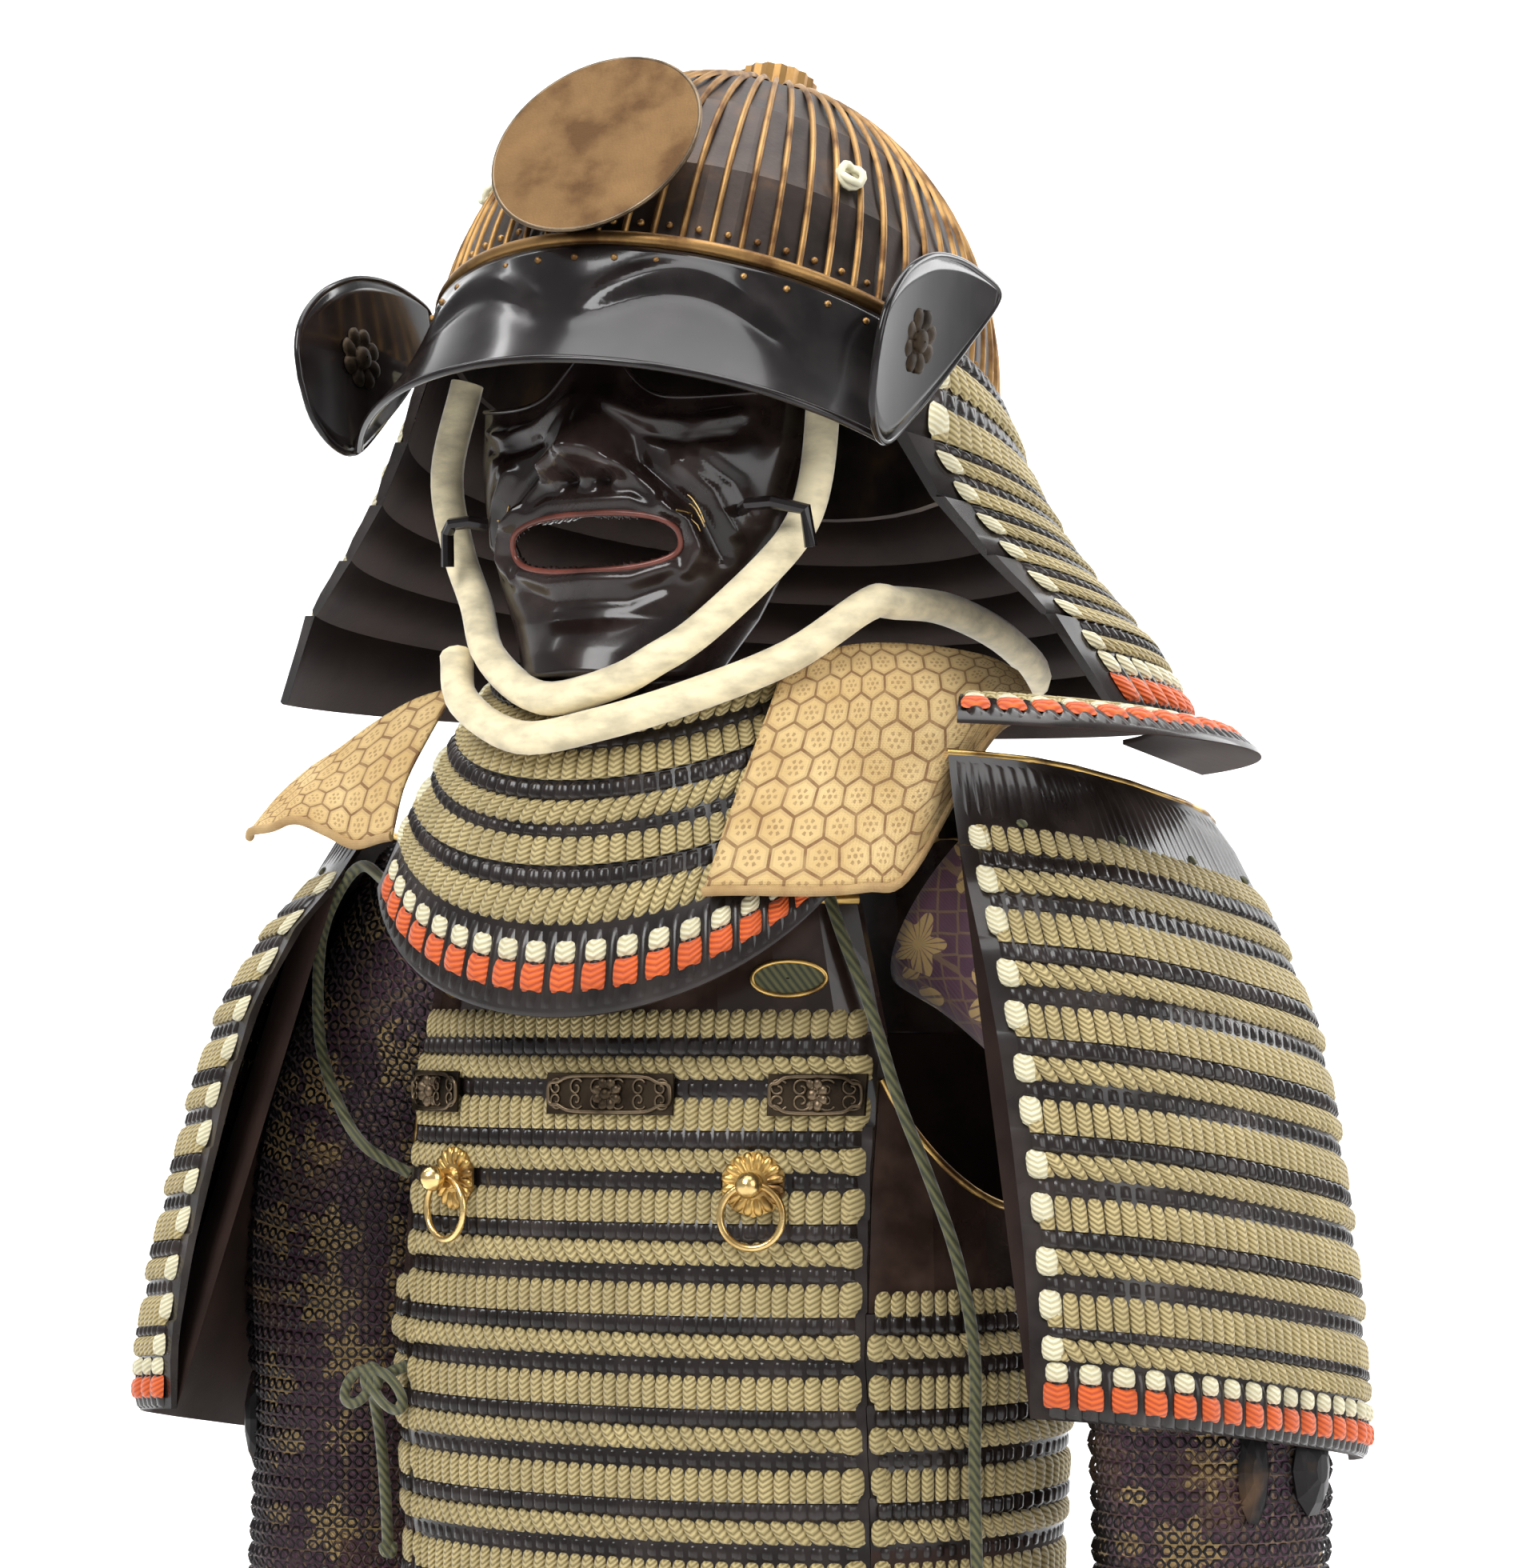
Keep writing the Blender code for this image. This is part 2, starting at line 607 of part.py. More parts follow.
def build_shoulder_guards(lacing, lacquer):
    """The big laced shoulder guards, each hung below a plain top plate, and the small flap at the wearer's left."""
    for name, side in (("left", 1), ("right", -1)):
        sections, top_plate = [], []
        for reach in [row[0] for row in GUARD_CURVE]:
            def place(level, offset, reach=reach, side=side):
                return guard_point(level, reach, offset, side)
            sections.append(laced_section(place, GUARD_TOP, GUARD_BOTTOM, GUARD_LAMES))
            top_plate.append([
                place(14.0, -4.0), place(-4.0, 0.0), place(GUARD_TOP + GAP, WALL / 2),
                place(GUARD_TOP + GAP, -WALL / 2), place(-4.0, -2.4), place(14.0, -6.4),
            ])
        loft(f"shoulder_guard_{name}", sections, lacing)
        loft(f"guard_top_plate_{name}", top_plate, lacquer)
    flap = []
    for share in steps(10):
        turn, rise = mix(-1.15, 1.05, share), 4.0 - 12.0 * (share - 0.1)
        def lip(reach, z, turn=turn, rise=rise):
            return Vector((118.0 + reach * 0.92 * math.cos(turn), 2.0 + reach * 0.86 * math.sin(turn), z + rise + 2.6))
        flap.append([lip(88.0, 29.6), lip(104.0, 28.4), lip(122.0, 24.5), lip(134.0, 17.5), lip(134.0, 14.5), lip(88.0, 26.1)])
    loft("shoulder_flap_left", flap, lacing)


SLEEVE_RINGS = (              # centre x, y, z, half width, half depth
    (112.0, 15.0, -40.0, 50.0, 50.0),
    (146.0, 18.0, -64.0, 52.0, 52.0),
    (178.0, 22.0, -106.0, 50.0, 51.0),
    (199.0, 25.0, -158.0, 48.0, 50.0),
    (207.0, 27.0, -215.0, 47.0, 48.0),
    (208.0, 28.0, -275.0, 47.0, 47.0),
    (209.0, 27.0, -335.0, 46.0, 46.0),
    (212.0, 22.0, -395.0, 44.0, 45.0),
    (215.0, 12.0, -455.0, 41.0, 42.0),
    (217.0, -2.0, -515.0, 37.0, 38.0),
    (219.0, -16.0, -570.0, 34.0, 35.0),
)
SLEEVE_FOLD = 1.8
SLEEVE_OUT = {1: 7.4, -1: 0.0}     # the left arm is held further out


def sleeve_ring(station, side, offset, count):
    """One ring round the arm, square to its run."""
    x, y, z, wide, deep = SLEEVE_RINGS[station]
    before = SLEEVE_RINGS[max(station - 1, 0)]
    after = SLEEVE_RINGS[min(station + 1, len(SLEEVE_RINGS) - 1)]
    run = Vector([b - a for a, b in zip(before[:3], after[:3])]).normalized()
    x += SLEEVE_OUT[side] * min(station, 2) / 2
    forward = Vector((0.0, -1.0, 0.0))
    forward = (forward - run * forward.dot(run)).normalized()
    out = forward.cross(run)
    ring = []
    for i in range(count):
        turn = math.tau * i / count
        fold = SLEEVE_FOLD * math.sin(3 * turn + 1.7 * station) if 0 < station < len(SLEEVE_RINGS) - 1 else 0.0
        reach = out * (wide + offset + fold) * math.cos(turn) + forward * (deep + offset + fold) * math.sin(turn)
        point = Vector((x, y, z)) + reach
        ring.append(Vector((side * point.x, point.y, point.z)))
    return ring


def build_sleeves(cloth):
    """The brocade sleeves: cloth tubes from the shoulders to the wrists, open at both ends."""
    count, stations = 14, range(len(SLEEVE_RINGS))
    for name, side in (("left", 1), ("right", -1)):
        outer = [sleeve_ring(i, side, 0.0, count) for i in stations]
        inner = [sleeve_ring(i, side, -SLEEVE_WALL, count) for i in stations]
        sections = [[ring[i] for ring in outer] + [ring[i] for ring in inner[::-1]] for i in range(count)]
        loft(f"sleeve_{name}", sections, cloth, closed=True, smooth=60.0)


def arm_plate(name, side, station, looks, half_width, half_height, seat, finish):
    """A small domed plate on the mail of a sleeve, facing the way looks gives, in degrees from straight ahead."""
    x, y, z, wide, deep = SLEEVE_RINGS[station]
    x += SLEEVE_OUT[side]
    facing = math.radians(looks)
    sections = []
    for size, rise in ((0.05, 0.0), (0.55, 0.0), (1.0, 0.0), (1.0, 1.2), (0.72, 3.8), (0.3, 5.4)):
        ring = []
        for i in range(10):
            turn = math.tau * i / 10
            around = facing + size * half_width * math.cos(turn) / wide
            ring.append(Vector((
                side * (x + (wide + seat + rise) * math.sin(around)), y - (deep + seat + rise) * math.cos(around),
                z + size * half_height * math.sin(turn),
            )))
        sections.append(ring)
    loft(name, sections, finish, smooth=50.0)


def build_arm_plates(finish):
    """Two plates in the mail of each forearm: a long gourd and a ribbed shell."""
    for name, side in (("left", 1), ("right", -1)):
        arm_plate(f"arm_gourd_{name}", side, 5, 48.0, 7.0, 22.0, -1.0, finish)
        arm_plate(f"arm_shell_{name}", side, 5, 84.0, 13.0, 20.0, 1.8, finish)


FITTINGS = (                  # name, from x, to x
    ("breast_fitting_right", -110.0, -71.0),
    ("breast_fitting_middle", -20.0, 39.0),
    ("breast_fitting_left", 77.0, 110.0),
)
FITTING_LEVEL = -124.0
FITTING_HALF_HEIGHT = 8.5


def build_fittings(finish):
    """The pierced plates laid over the lacing of the chest."""
    for name, start, end in FITTINGS:
        sections = []
        for share in steps(4):
            x = mix(start, end, share)
            ring = []
            for rise, offset in ((1, 6.4), (-1, 6.4), (-1, 5.2), (1, 5.2)):
                level = FITTING_LEVEL + rise * FITTING_HALF_HEIGHT
                ring.append(Vector((x, TORSO_Y - torso_depth(level, x, offset), level)))
            sections.append(ring)
        loft(name, sections, finish)


ROSETTE_RADIUS = 13.4
ROSETTE_LOOKS = math.radians(20.0)
EYE_DEPTH = 5.6               # from the rosette's back to the middle of the eye
EYE_RADIUS = 2.9
EYE_THICKNESS = 2.0
KNOB_DEPTH = 12.2
KNOB_RADIUS = 5.2


def rosette_frame(side):
    """Origin and directions (outwards, across, up) of a rosette on the chest."""
    seat = 4.2
    x = side * RING_X
    origin = Vector((x, TORSO_Y - torso_depth(RING_LEVEL, x, seat), RING_LEVEL))
    outwards = Vector((side * math.sin(ROSETTE_LOOKS), -math.cos(ROSETTE_LOOKS), 0.0))
    across = Vector((math.cos(ROSETTE_LOOKS), side * math.sin(ROSETTE_LOOKS), 0.0))
    return origin, outwards, across, Vector((0.0, 0.0, 1.0))


def round_loop(centre, first, second, radius, section_radius, count, section_count):
    """Sections of a ring of round section, in the plane of two directions."""
    normal = first.cross(second)
    sections = []
    for i in range(count):
        turn = math.tau * i / count
        reach = first * math.cos(turn) + second * math.sin(turn)
        sections.append([
            centre + reach * (radius + section_radius * math.cos(math.tau * j / section_count))
            + normal * section_radius * math.sin(math.tau * j / section_count)
            for j in range(section_count)
        ])
    return sections


def build_rosettes_and_rings(gilt):
    """Two petalled rosettes, each with a knob, and a ring hung in the eye behind the knob."""
    for name, side in (("left", 1), ("right", -1)):
        origin, outwards, across, up = rosette_frame(side)
        profile = (
            (ROSETTE_RADIUS, 0.0), (ROSETTE_RADIUS, 1.0), (5.0, 2.2), (2.0, 2.6), (1.6, EYE_DEPTH + 2.2),
            (3.2, KNOB_DEPTH - 4.2), (KNOB_RADIUS, KNOB_DEPTH), (3.6, KNOB_DEPTH + 3.8), (0.8, KNOB_DEPTH + KNOB_RADIUS),
        )
        rings = []
        for radius, depth in profile:
            ring = []
            for i in range(20):
                turn = math.tau * i / 20
                reach = radius * (1.0 if i % 2 or radius < ROSETTE_RADIUS else 0.94)
                ring.append(origin + outwards * depth + (across * math.cos(turn) + up * math.sin(turn)) * reach)
            rings.append(ring)
        rosette = loft(f"rosette_{name}", rings, gilt, smooth=50.0)
        eye = origin + outwards * EYE_DEPTH
        collar = cutter(f"eye_{name}", [
            [eye + across * x + outwards * (r * math.cos(math.tau * i / 14)) + up * (r * math.sin(math.tau * i / 14))
             for i in range(14)]
            for x, r in ((-1.2, 4.1), (1.2, 4.1))
        ])
        join = rosette.modifiers.new("Eye", "BOOLEAN")
        join.operation, join.object = "UNION", collar
        bore = cutter(f"bore_{name}", [
            [eye + across * x + outwards * (r * math.cos(math.tau * i / 14)) + up * (r * math.sin(math.tau * i / 14))
             for i in range(14)]
            for x, r in ((-6.0, 2.6), (-1.0, 2.0), (1.0, 2.0), (6.0, 2.6))
        ])
        cut = rosette.modifiers.new("Bore", "BOOLEAN")
        cut.operation, cut.object = "DIFFERENCE", bore
        centre = eye - up * RING_RADIUS
        ring = loft(f"ring_{name}", round_loop(centre, across, up, RING_RADIUS, RING_THICKNESS / 2, 22, 8), gilt,
                    closed=True, smooth=60.0)
        ring.data.transform(Matrix.Translation(eye * -MM))
        ring.location = eye * MM


TASSET_RINGS = (              # level, half width, half depth
    (-400.0, 146.0, 114.0),
    (-430.0, 150.0, 120.0),
    (-520.0, 158.0, 136.0),
    (-629.0, 167.0, 156.0),
)
TASSET_FACE = ((0.0, 3.2), (0.42, 4.4), (0.62, 1.8))


def build_tassets(lacing):
    """Seven hanging skirt panels of five lames each, laced to the hem."""
    top = HEM - TASSET_LACES
    bottom = HEM - TASSET_DROP
    for i in range(TASSETS):
        sections = []
        for share in steps(4):
            def place(level, offset, share=share):
                wide, deep = along(TASSET_RINGS, level)
                spread = math.radians(360.0 / TASSETS) - math.radians(1.8 + 1.4 * (HEM - level) / TASSET_DROP)
                turn = math.tau * i / TASSETS + (share - 0.5) * spread
                sine = math.copysign(abs(math.sin(turn)) ** (2 / TORSO_ROUNDNESS), math.sin(turn))
                cosine = math.copysign(abs(math.cos(turn)) ** (2 / TORSO_ROUNDNESS), math.cos(turn))
                return Vector(((wide + offset) * sine, TORSO_Y - (deep + offset) * cosine, level))
            rows = [(HEM - GAP, 1.6), (top + 0.5, 1.6)]
            for lame in range(TASSET_LAMES):
                start, end = (mix(top, bottom, (lame + j) / TASSET_LAMES) for j in (0, 1))
                rows += [(mix(start, end, down), proud) for down, proud in TASSET_FACE]
            rows += [(bottom, 2.2), (bottom, -WALL / 2), (mix(top, bottom, 0.5), -WALL / 2), (HEM - GAP, -WALL / 2)]
            sections.append([place(level, offset) for level, offset in rows])
        loft(f"tasset_{i + 1}", sections, lacing)


HELMET_CORD_ROUTE = (
    (-85.0, -67.0, 176.0), (-92.0, -72.0, 138.0), (-86.0, -73.0, 106.0), (-72.0, -80.0, 81.0), (-50.0, -102.0, 56.0),
    (-15.0, -117.8, 37.4), (18.0, -116.7, 42.5), (38.0, -114.8, 51.6), (53.0, -106.3, 62.8), (74.0, -89.0, 88.0), (83.0, -77.0, 106.0),
    (87.0, -71.0, 126.0), (87.0, -65.0, 157.0), (85.0, -61.0, 183.0),
)
NECK_CORD_ROUTE = (
    (-72.0, -95.0, 58.0), (-60.0, -107.2, 37.6), (-25.0, -118.7, 21.6), (15.0, -120.8, 25.8), (52.0, -108.6, 36.9),
    (82.0, -82.6, 53.2), (102.0, -55.0, 75.0), (105.0, -38.0, 77.0), (108.0, 5.0, 77.0), (105.0, 65.0, 68.0),
    (85.0, 130.0, 55.0), (40.0, 150.0, 45.0),
)
WAIST_CORD_ROUTE = (
    (-108.5, -78.2, -241.0), (-121.0, -77.0, -246.0), (-134.0, -66.0, -251.0), (-140.0, -57.0, -257.0),
    (-138.0, -55.0, -275.0), (-134.0, -57.0, -300.0), (-132.0, -58.0, -325.0),
)
SIDE_CORD_ROUTE = (
    (91.0, -71.0, -38.0), (100.0, -72.0, -60.0), (112.0, -70.0, -90.0), (122.0, -66.0, -125.0), (131.0, -58.0, -155.0),
    (140.0, -49.0, -190.0), (145.0, -43.0, -230.0), (145.0, -43.0, -280.0), (147.0, -43.0, -340.0), (148.0, -42.0, -372.0),
)
ARM_CORD_ROUTE = (
    (-117.2, -80.0, -36.0), (-139.1, -68.0, -28.0), (-157.1, -62.0, -42.0), (-169.2, -56.0, -63.0), (-174.0, -50.0, -100.0),
    (-166.0, -50.0, -126.0), (-149.0, -53.0, -148.0), (-130.6, -43.5, -161.0),
)


def build_cords(cream, olive):
    """The padded cream cords of the helmet and neck, and the olive braids that tie the armour."""
    tube("helmet_cord", smooth_route(HELMET_CORD_ROUTE, 2), CORD_DIAMETER, cream)
    tube("neck_cord", smooth_route(NECK_CORD_ROUTE, 2), CORD_DIAMETER, cream)
    tube("waist_cord", smooth_route(WAIST_CORD_ROUTE, 2), TIE_DIAMETER, olive)
    tube("side_cord", smooth_route(SIDE_CORD_ROUTE, 1), TIE_DIAMETER, olive)
    tube("arm_cord_right", smooth_route(ARM_CORD_ROUTE, 1), TIE_DIAMETER, olive)


COLLAR_LEFT = (               # from the edge over the throat round to the back, each column from the top down
    ((75.0, -76.0, 50.0), (76.0, -87.0, 36.0), (72.0, -97.6, 12.0), (69.0, -111.0, -14.0), (64.0, -121.0, -42.0)),
    ((90.0, -62.0, 57.0), (95.0, -73.0, 38.0), (97.0, -87.0, 13.0), (97.0, -104.0, -14.0), (98.0, -114.0, -42.0)),
    ((100.0, -44.0, 60.0), (109.0, -57.0, 40.0), (114.0, -72.0, 13.0), (119.0, -87.0, -13.0), (124.0, -96.0, -41.0)),
    ((112.0, -16.0, 60.0), (124.0, -32.0, 42.0), (134.7, -49.0, 14.0), (135.0, -64.0, -8.0), (134.0, -76.0, -33.0)),
    ((118.0, 20.0, 58.0), (124.0, 14.0, 50.0), (130.0, 6.0, 40.0), (134.0, -4.0, 32.0), (136.0, -10.0, 24.0)),
    ((116.0, 52.0, 54.0), (120.0, 50.0, 50.0), (124.0, 48.0, 45.0), (127.0, 46.0, 40.0), (129.0, 44.0, 35.0)),
)
COLLAR_RIGHT = (
    ((-95.0, -60.0, 48.0), (-100.0, -73.0, 28.0), (-105.6, -84.0, 6.0), (-107.5, -90.5, -16.0)),
    ((-117.0, -60.0, 43.0), (-121.0, -71.0, 24.0), (-125.0, -82.0, 3.0), (-126.0, -90.0, -19.0)),
    ((-135.0, -65.0, 33.0), (-138.0, -73.0, 18.0), (-140.0, -82.0, 2.0), (-141.0, -89.0, -14.0)),
    ((-150.0, -70.0, 22.0), (-153.0, -76.0, 12.0), (-156.0, -82.0, 2.0), (-158.0, -86.0, -8.0)),
    ((-163.0, -73.0, 14.0), (-166.0, -77.0, 6.0), (-169.0, -81.0, -2.0), (-172.0, -84.0, -10.0)),
    ((-176.0, -76.0, 3.0), (-179.0, -78.0, -2.0), (-182.0, -79.0, -7.0), (-186.0, -81.0, -12.0)),
    ((-189.0, -77.0, -10.0), (-189.6, -77.4, -11.4), (-190.2, -77.9, -12.8), (-190.8, -78.3, -14.2)),
)
COLLAR_THICKNESS = 1.8


def build_collar_cloths(cloth):
    """The printed cloth facings that turn out over the shoulders from under the throat guard."""
    for name, columns, flip in (("left", COLLAR_LEFT, 1), ("right", COLLAR_RIGHT, -1)):
        rows = [[Vector(point) for point in column] for column in columns]
        sections = []
        for i, column in enumerate(rows):
            ahead, behind = rows[min(i + 1, len(rows) - 1)], rows[max(i - 1, 0)]
            near, far = [], []
            for j, point in enumerate(column):
                run = ahead[j] - behind[j]
                fall = column[min(j + 1, len(column) - 1)] - column[max(j - 1, 0)]
                normal = run.cross(fall).normalized() * flip * COLLAR_THICKNESS / 2
                near.append(point + normal)
                far.append(point - normal)
            sections.append(near + far[::-1])
        loft(f"collar_cloth_{name}", sections, cloth, smooth=60.0)


HELMET_PIECES = ("helmet_bowl", "helmet_top_ring", "visor", "turnback", "crest", "neck_lame")


def turn_helmet():
    """Turns and leans the helmet with its neck guard, as it sits on the head."""
    pivot = Matrix.Translation(HELMET_PIVOT * MM)
    turn = pivot @ Matrix.Rotation(HELMET_TURN, 4, "Z") @ Matrix.Rotation(HELMET_LEAN, 4, "Y") @ pivot.inverted()
    for obj in bpy.data.objects:
        if obj.name.startswith(HELMET_PIECES):
            obj.data.transform(turn)


def build_armour():
    """Builds every piece of the armour."""
    clear_scene()
    for group in ("samurai_armour", "cutters"):
        bpy.context.scene.collection.children.link(bpy.data.collections.new(group))
    iron = material("russet_iron", (0.10, 0.075, 0.055), 0.45, 0.6)
    lacquer = material("black_lacquer", (0.012, 0.010, 0.010), 0.15)
    gilt = material("gilt", (0.55, 0.38, 0.14), 0.35, 1.0)
    bronze = material("bronze", (0.30, 0.20, 0.10), 0.45, 0.9)
    lacing = material("laced_lames", (0.42, 0.36, 0.20), 0.8)
    brocade = material("brocade", (0.13, 0.07, 0.09), 0.7)
    padded = material("cream_cord", (0.72, 0.62, 0.38), 0.7)
    olive = material("olive_braid", (0.12, 0.13, 0.04), 0.7)
    printed = material("printed_cloth", (0.62, 0.44, 0.20), 0.8)
    build_bowl(iron)
    build_top_ring(gilt)
    build_visor(lacquer)
    build_turnback("turnback_left", 1, lacquer)
    build_turnback("turnback_right", -1, lacquer)
    build_crest(bronze, lacquer)
    build_neck_guard(lacing)
    build_mask(lacquer)
    build_mask_hooks(lacquer)
    build_throat_guard(lacing)
    build_cuirass(lacing, lacquer)
    build_straps(lacquer)
    build_shoulder_guards(lacing, lacquer)
    build_sleeves(brocade)
    build_arm_plates(iron)
    build_fittings(bronze)
    build_rosettes_and_rings(gilt)
    build_tassets(lacing)
    build_cords(padded, olive)
    build_collar_cloths(printed)
    turn_helmet()


build_armour()
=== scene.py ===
"""Looks of the samurai armour: lacing, lacquer, gilding, cloth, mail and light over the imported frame.

The shape tables repeat those of the part, in millimetres. Each piece rides on a body of the frame.
"""

from __future__ import annotations

import logging
import math
import random
from dataclasses import dataclass, field
from enum import Enum
from typing import Callable, Sequence

import bpy
import numpy as np
from mathutils import Matrix, Vector

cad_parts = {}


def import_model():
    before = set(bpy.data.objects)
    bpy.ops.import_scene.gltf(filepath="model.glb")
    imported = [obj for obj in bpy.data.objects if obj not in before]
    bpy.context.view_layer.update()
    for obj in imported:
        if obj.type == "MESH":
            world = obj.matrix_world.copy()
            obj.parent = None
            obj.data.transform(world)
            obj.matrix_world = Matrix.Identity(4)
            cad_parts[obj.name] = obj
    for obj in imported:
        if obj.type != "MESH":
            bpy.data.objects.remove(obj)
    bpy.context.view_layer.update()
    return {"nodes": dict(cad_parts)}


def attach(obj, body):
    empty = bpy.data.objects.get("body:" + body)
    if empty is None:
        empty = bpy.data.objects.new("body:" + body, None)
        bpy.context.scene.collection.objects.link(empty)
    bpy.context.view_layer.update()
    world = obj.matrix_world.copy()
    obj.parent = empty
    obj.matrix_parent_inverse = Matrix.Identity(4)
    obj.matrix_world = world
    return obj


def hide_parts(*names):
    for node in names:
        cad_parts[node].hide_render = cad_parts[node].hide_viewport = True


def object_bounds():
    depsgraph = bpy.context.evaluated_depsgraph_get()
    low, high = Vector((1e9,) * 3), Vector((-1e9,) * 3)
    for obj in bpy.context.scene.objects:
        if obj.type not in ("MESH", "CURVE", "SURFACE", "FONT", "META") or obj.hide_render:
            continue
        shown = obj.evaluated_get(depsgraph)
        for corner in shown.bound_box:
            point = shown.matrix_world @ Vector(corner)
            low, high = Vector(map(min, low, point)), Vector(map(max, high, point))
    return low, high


LOG = logging.getLogger("armour_looks")
MM = 0.001

IMAGE_WIDTH, IMAGE_HEIGHT = 1903, 1960
VIEW_AZIMUTH = math.radians(30.0)
VIEW_DISTANCE = 2.0
SENSOR_HEIGHT = 24.0
EYE_LEVEL = -0.088
PICTURE_CENTRE = Vector((0.0176, 0.0068))
MM_PER_PIXEL = 1 / 2.92
TOWARDS = Vector((math.sin(VIEW_AZIMUTH), -math.cos(VIEW_AZIMUTH), 0.0))
ACROSS = Vector((math.cos(VIEW_AZIMUTH), math.sin(VIEW_AZIMUTH), 0.0))
SIDES = (("left", 1), ("right", -1))
Colour = tuple[float, float, float]


def link_new(name: str, data: bpy.types.ID) -> bpy.types.Object:
    """An object of that data, linked to the scene."""
    made = bpy.data.objects.new(name, data)
    bpy.context.scene.collection.objects.link(made)
    return made


def add_camera() -> bpy.types.Object:
    """Adds the camera at the photograph's viewing angle.

    Its axis stays level, and the lens is shifted upwards, so upright lines stay upright.

    Returns:
        The camera object, which the scene uses.
    """
    data = bpy.data.cameras.new("photo_camera")
    data.sensor_fit = "VERTICAL"
    data.sensor_height = SENSOR_HEIGHT
    frame_height = IMAGE_HEIGHT * MM_PER_PIXEL * MM
    data.lens = data.sensor_height * VIEW_DISTANCE / frame_height
    data.shift_y = (PICTURE_CENTRE.y - EYE_LEVEL) / frame_height
    camera = link_new("photo_camera", data)
    camera.location = ACROSS * PICTURE_CENTRE.x + TOWARDS * VIEW_DISTANCE + Vector((0.0, 0.0, EYE_LEVEL))
    camera.rotation_euler = (-TOWARDS).to_track_quat("-Z", "Y").to_euler()
    bpy.context.scene.camera = camera
    return camera


GAP = 0.3                     # clearance between neighbouring pieces
BOWL_HALF_WIDTH = 116.0
BOWL_HALF_LENGTH = 131.0
BOWL_HEIGHT = 135.0
BOWL_CENTRE = Vector((0.0, -3.0, 173.0))
BOWL_TILT = math.radians(19.0)
BOWL_ROUNDNESS = 2.0
BOWL_RIDGE = 1.6               # how far the plates' flanges stand out
TOP_HOLE_RADIUS = 15.0
VISOR_SPREAD = math.radians(62.0)
PLATE = 2.4                   # thickness of a lacquered plate
CREST_RADIUS = 46.0
HELMET_TURN = math.radians(3.5)  # the helmet looks a little to the wearer's left
HELMET_LEAN = math.radians(2.0)  # and leans to that side
HELMET_PIVOT = Vector((0.0, 10.0, 190.0))
TORSO_Y = 10.0
TORSO_ROUNDNESS = 2.3
TORSO_RINGS = (               # level, half width, half depth
    (0.0, 112.0, 100.0),
    (-45.0, 122.0, 106.0),
    (-100.0, 131.0, 109.0),
    (-160.0, 140.0, 112.0),
    (-230.0, 146.0, 112.0),
    (-320.0, 141.0, 109.0),
    (-400.0, 146.0, 114.0),
)
PANEL_HALF_WIDTH = 111.0
LAME_PITCH = 37.5
FRONT_LAMES = 8
FRONT_TOP = -100.0
HEM = FRONT_TOP - LAME_PITCH * FRONT_LAMES
SIDE_LAMES = 5
SIDE_TOP = HEM + LAME_PITCH * SIDE_LAMES
BREAST_TOP = -45.0
BACK_TOP = -15.0
CORD_DIAMETER = 14.0
TIE_DIAMETER = 5.0
RING_RADIUS = 12.8
RING_THICKNESS = 3.0
RING_X = 72.0
RING_LEVEL = -160.0
TASSETS = 7
TASSET_LAMES = 5
TASSET_LACES = 14.0           # the laces between hem and tasset
TASSET_DROP = 229.0


def mix(start: float, end: float, share: float) -> float:
    """The number that lies this share of the way from start to end."""
    return start + (end - start) * share


def along(table: Sequence[tuple], key: float) -> tuple:
    """Reads a table by its first column, with straight runs between rows.

    Args:
        table: Rows of numbers whose first column only falls or only rises.
        key: The value to look up in that column.

    Returns:
        The other columns at that value.
    """
    rising = table[0][0] < table[-1][0]
    rows = table if rising else table[::-1]
    if key <= rows[0][0]:
        return rows[0][1:]
    for low, high in zip(rows, rows[1:]):
        if key <= high[0]:
            share = (key - low[0]) / (high[0] - low[0])
            return tuple(mix(a, b, share) for a, b in zip(low[1:], high[1:]))
    return rows[-1][1:]


def smooth_route(points: Sequence[Vector], per_span: int) -> list[Vector]:
    """A smooth curve through the given points, with per_span steps between two of them."""
    rows = [Vector(p) for p in points]
    ends = [rows[0] * 2 - rows[1], *rows, rows[-1] * 2 - rows[-2]]
    route = []
    for a, b, c, d in zip(ends, ends[1:], ends[2:], ends[3:]):
        for i in range(per_span):
            t = i / per_span
            route.append(
                0.5 * ((2 * b) + (c - a) * t + (2 * a - 5 * b + 4 * c - d) * t * t
                       + (3 * b - a - 3 * c + d) * t * t * t)
            )
    return route + [rows[-1]]


def helmet(x: float, y: float, z: float) -> Vector:
    """A point given on the helmet, whose rim lies level, in its tilted place on the head."""
    cosine, sine = math.cos(BOWL_TILT), math.sin(BOWL_TILT)
    return BOWL_CENTRE + Vector((x, y * cosine + z * sine, z * cosine - y * sine))


def bowl_point(turn: float, rise: float, offset: float) -> Vector:
    """A point on the bowl. turn is the angle round it, rise the angle up from the rim."""
    across = math.cos(rise) ** (2 / BOWL_ROUNDNESS)
    height = math.sin(rise) ** (2 / BOWL_ROUNDNESS) if rise > 0 else 0.0
    across = max(across, TOP_HOLE_RADIUS / BOWL_HALF_WIDTH)
    return helmet(
        (BOWL_HALF_WIDTH + offset) * across * math.cos(turn),
        (BOWL_HALF_LENGTH + offset) * across * math.sin(turn),
        (BOWL_HEIGHT + offset) * height,
    )


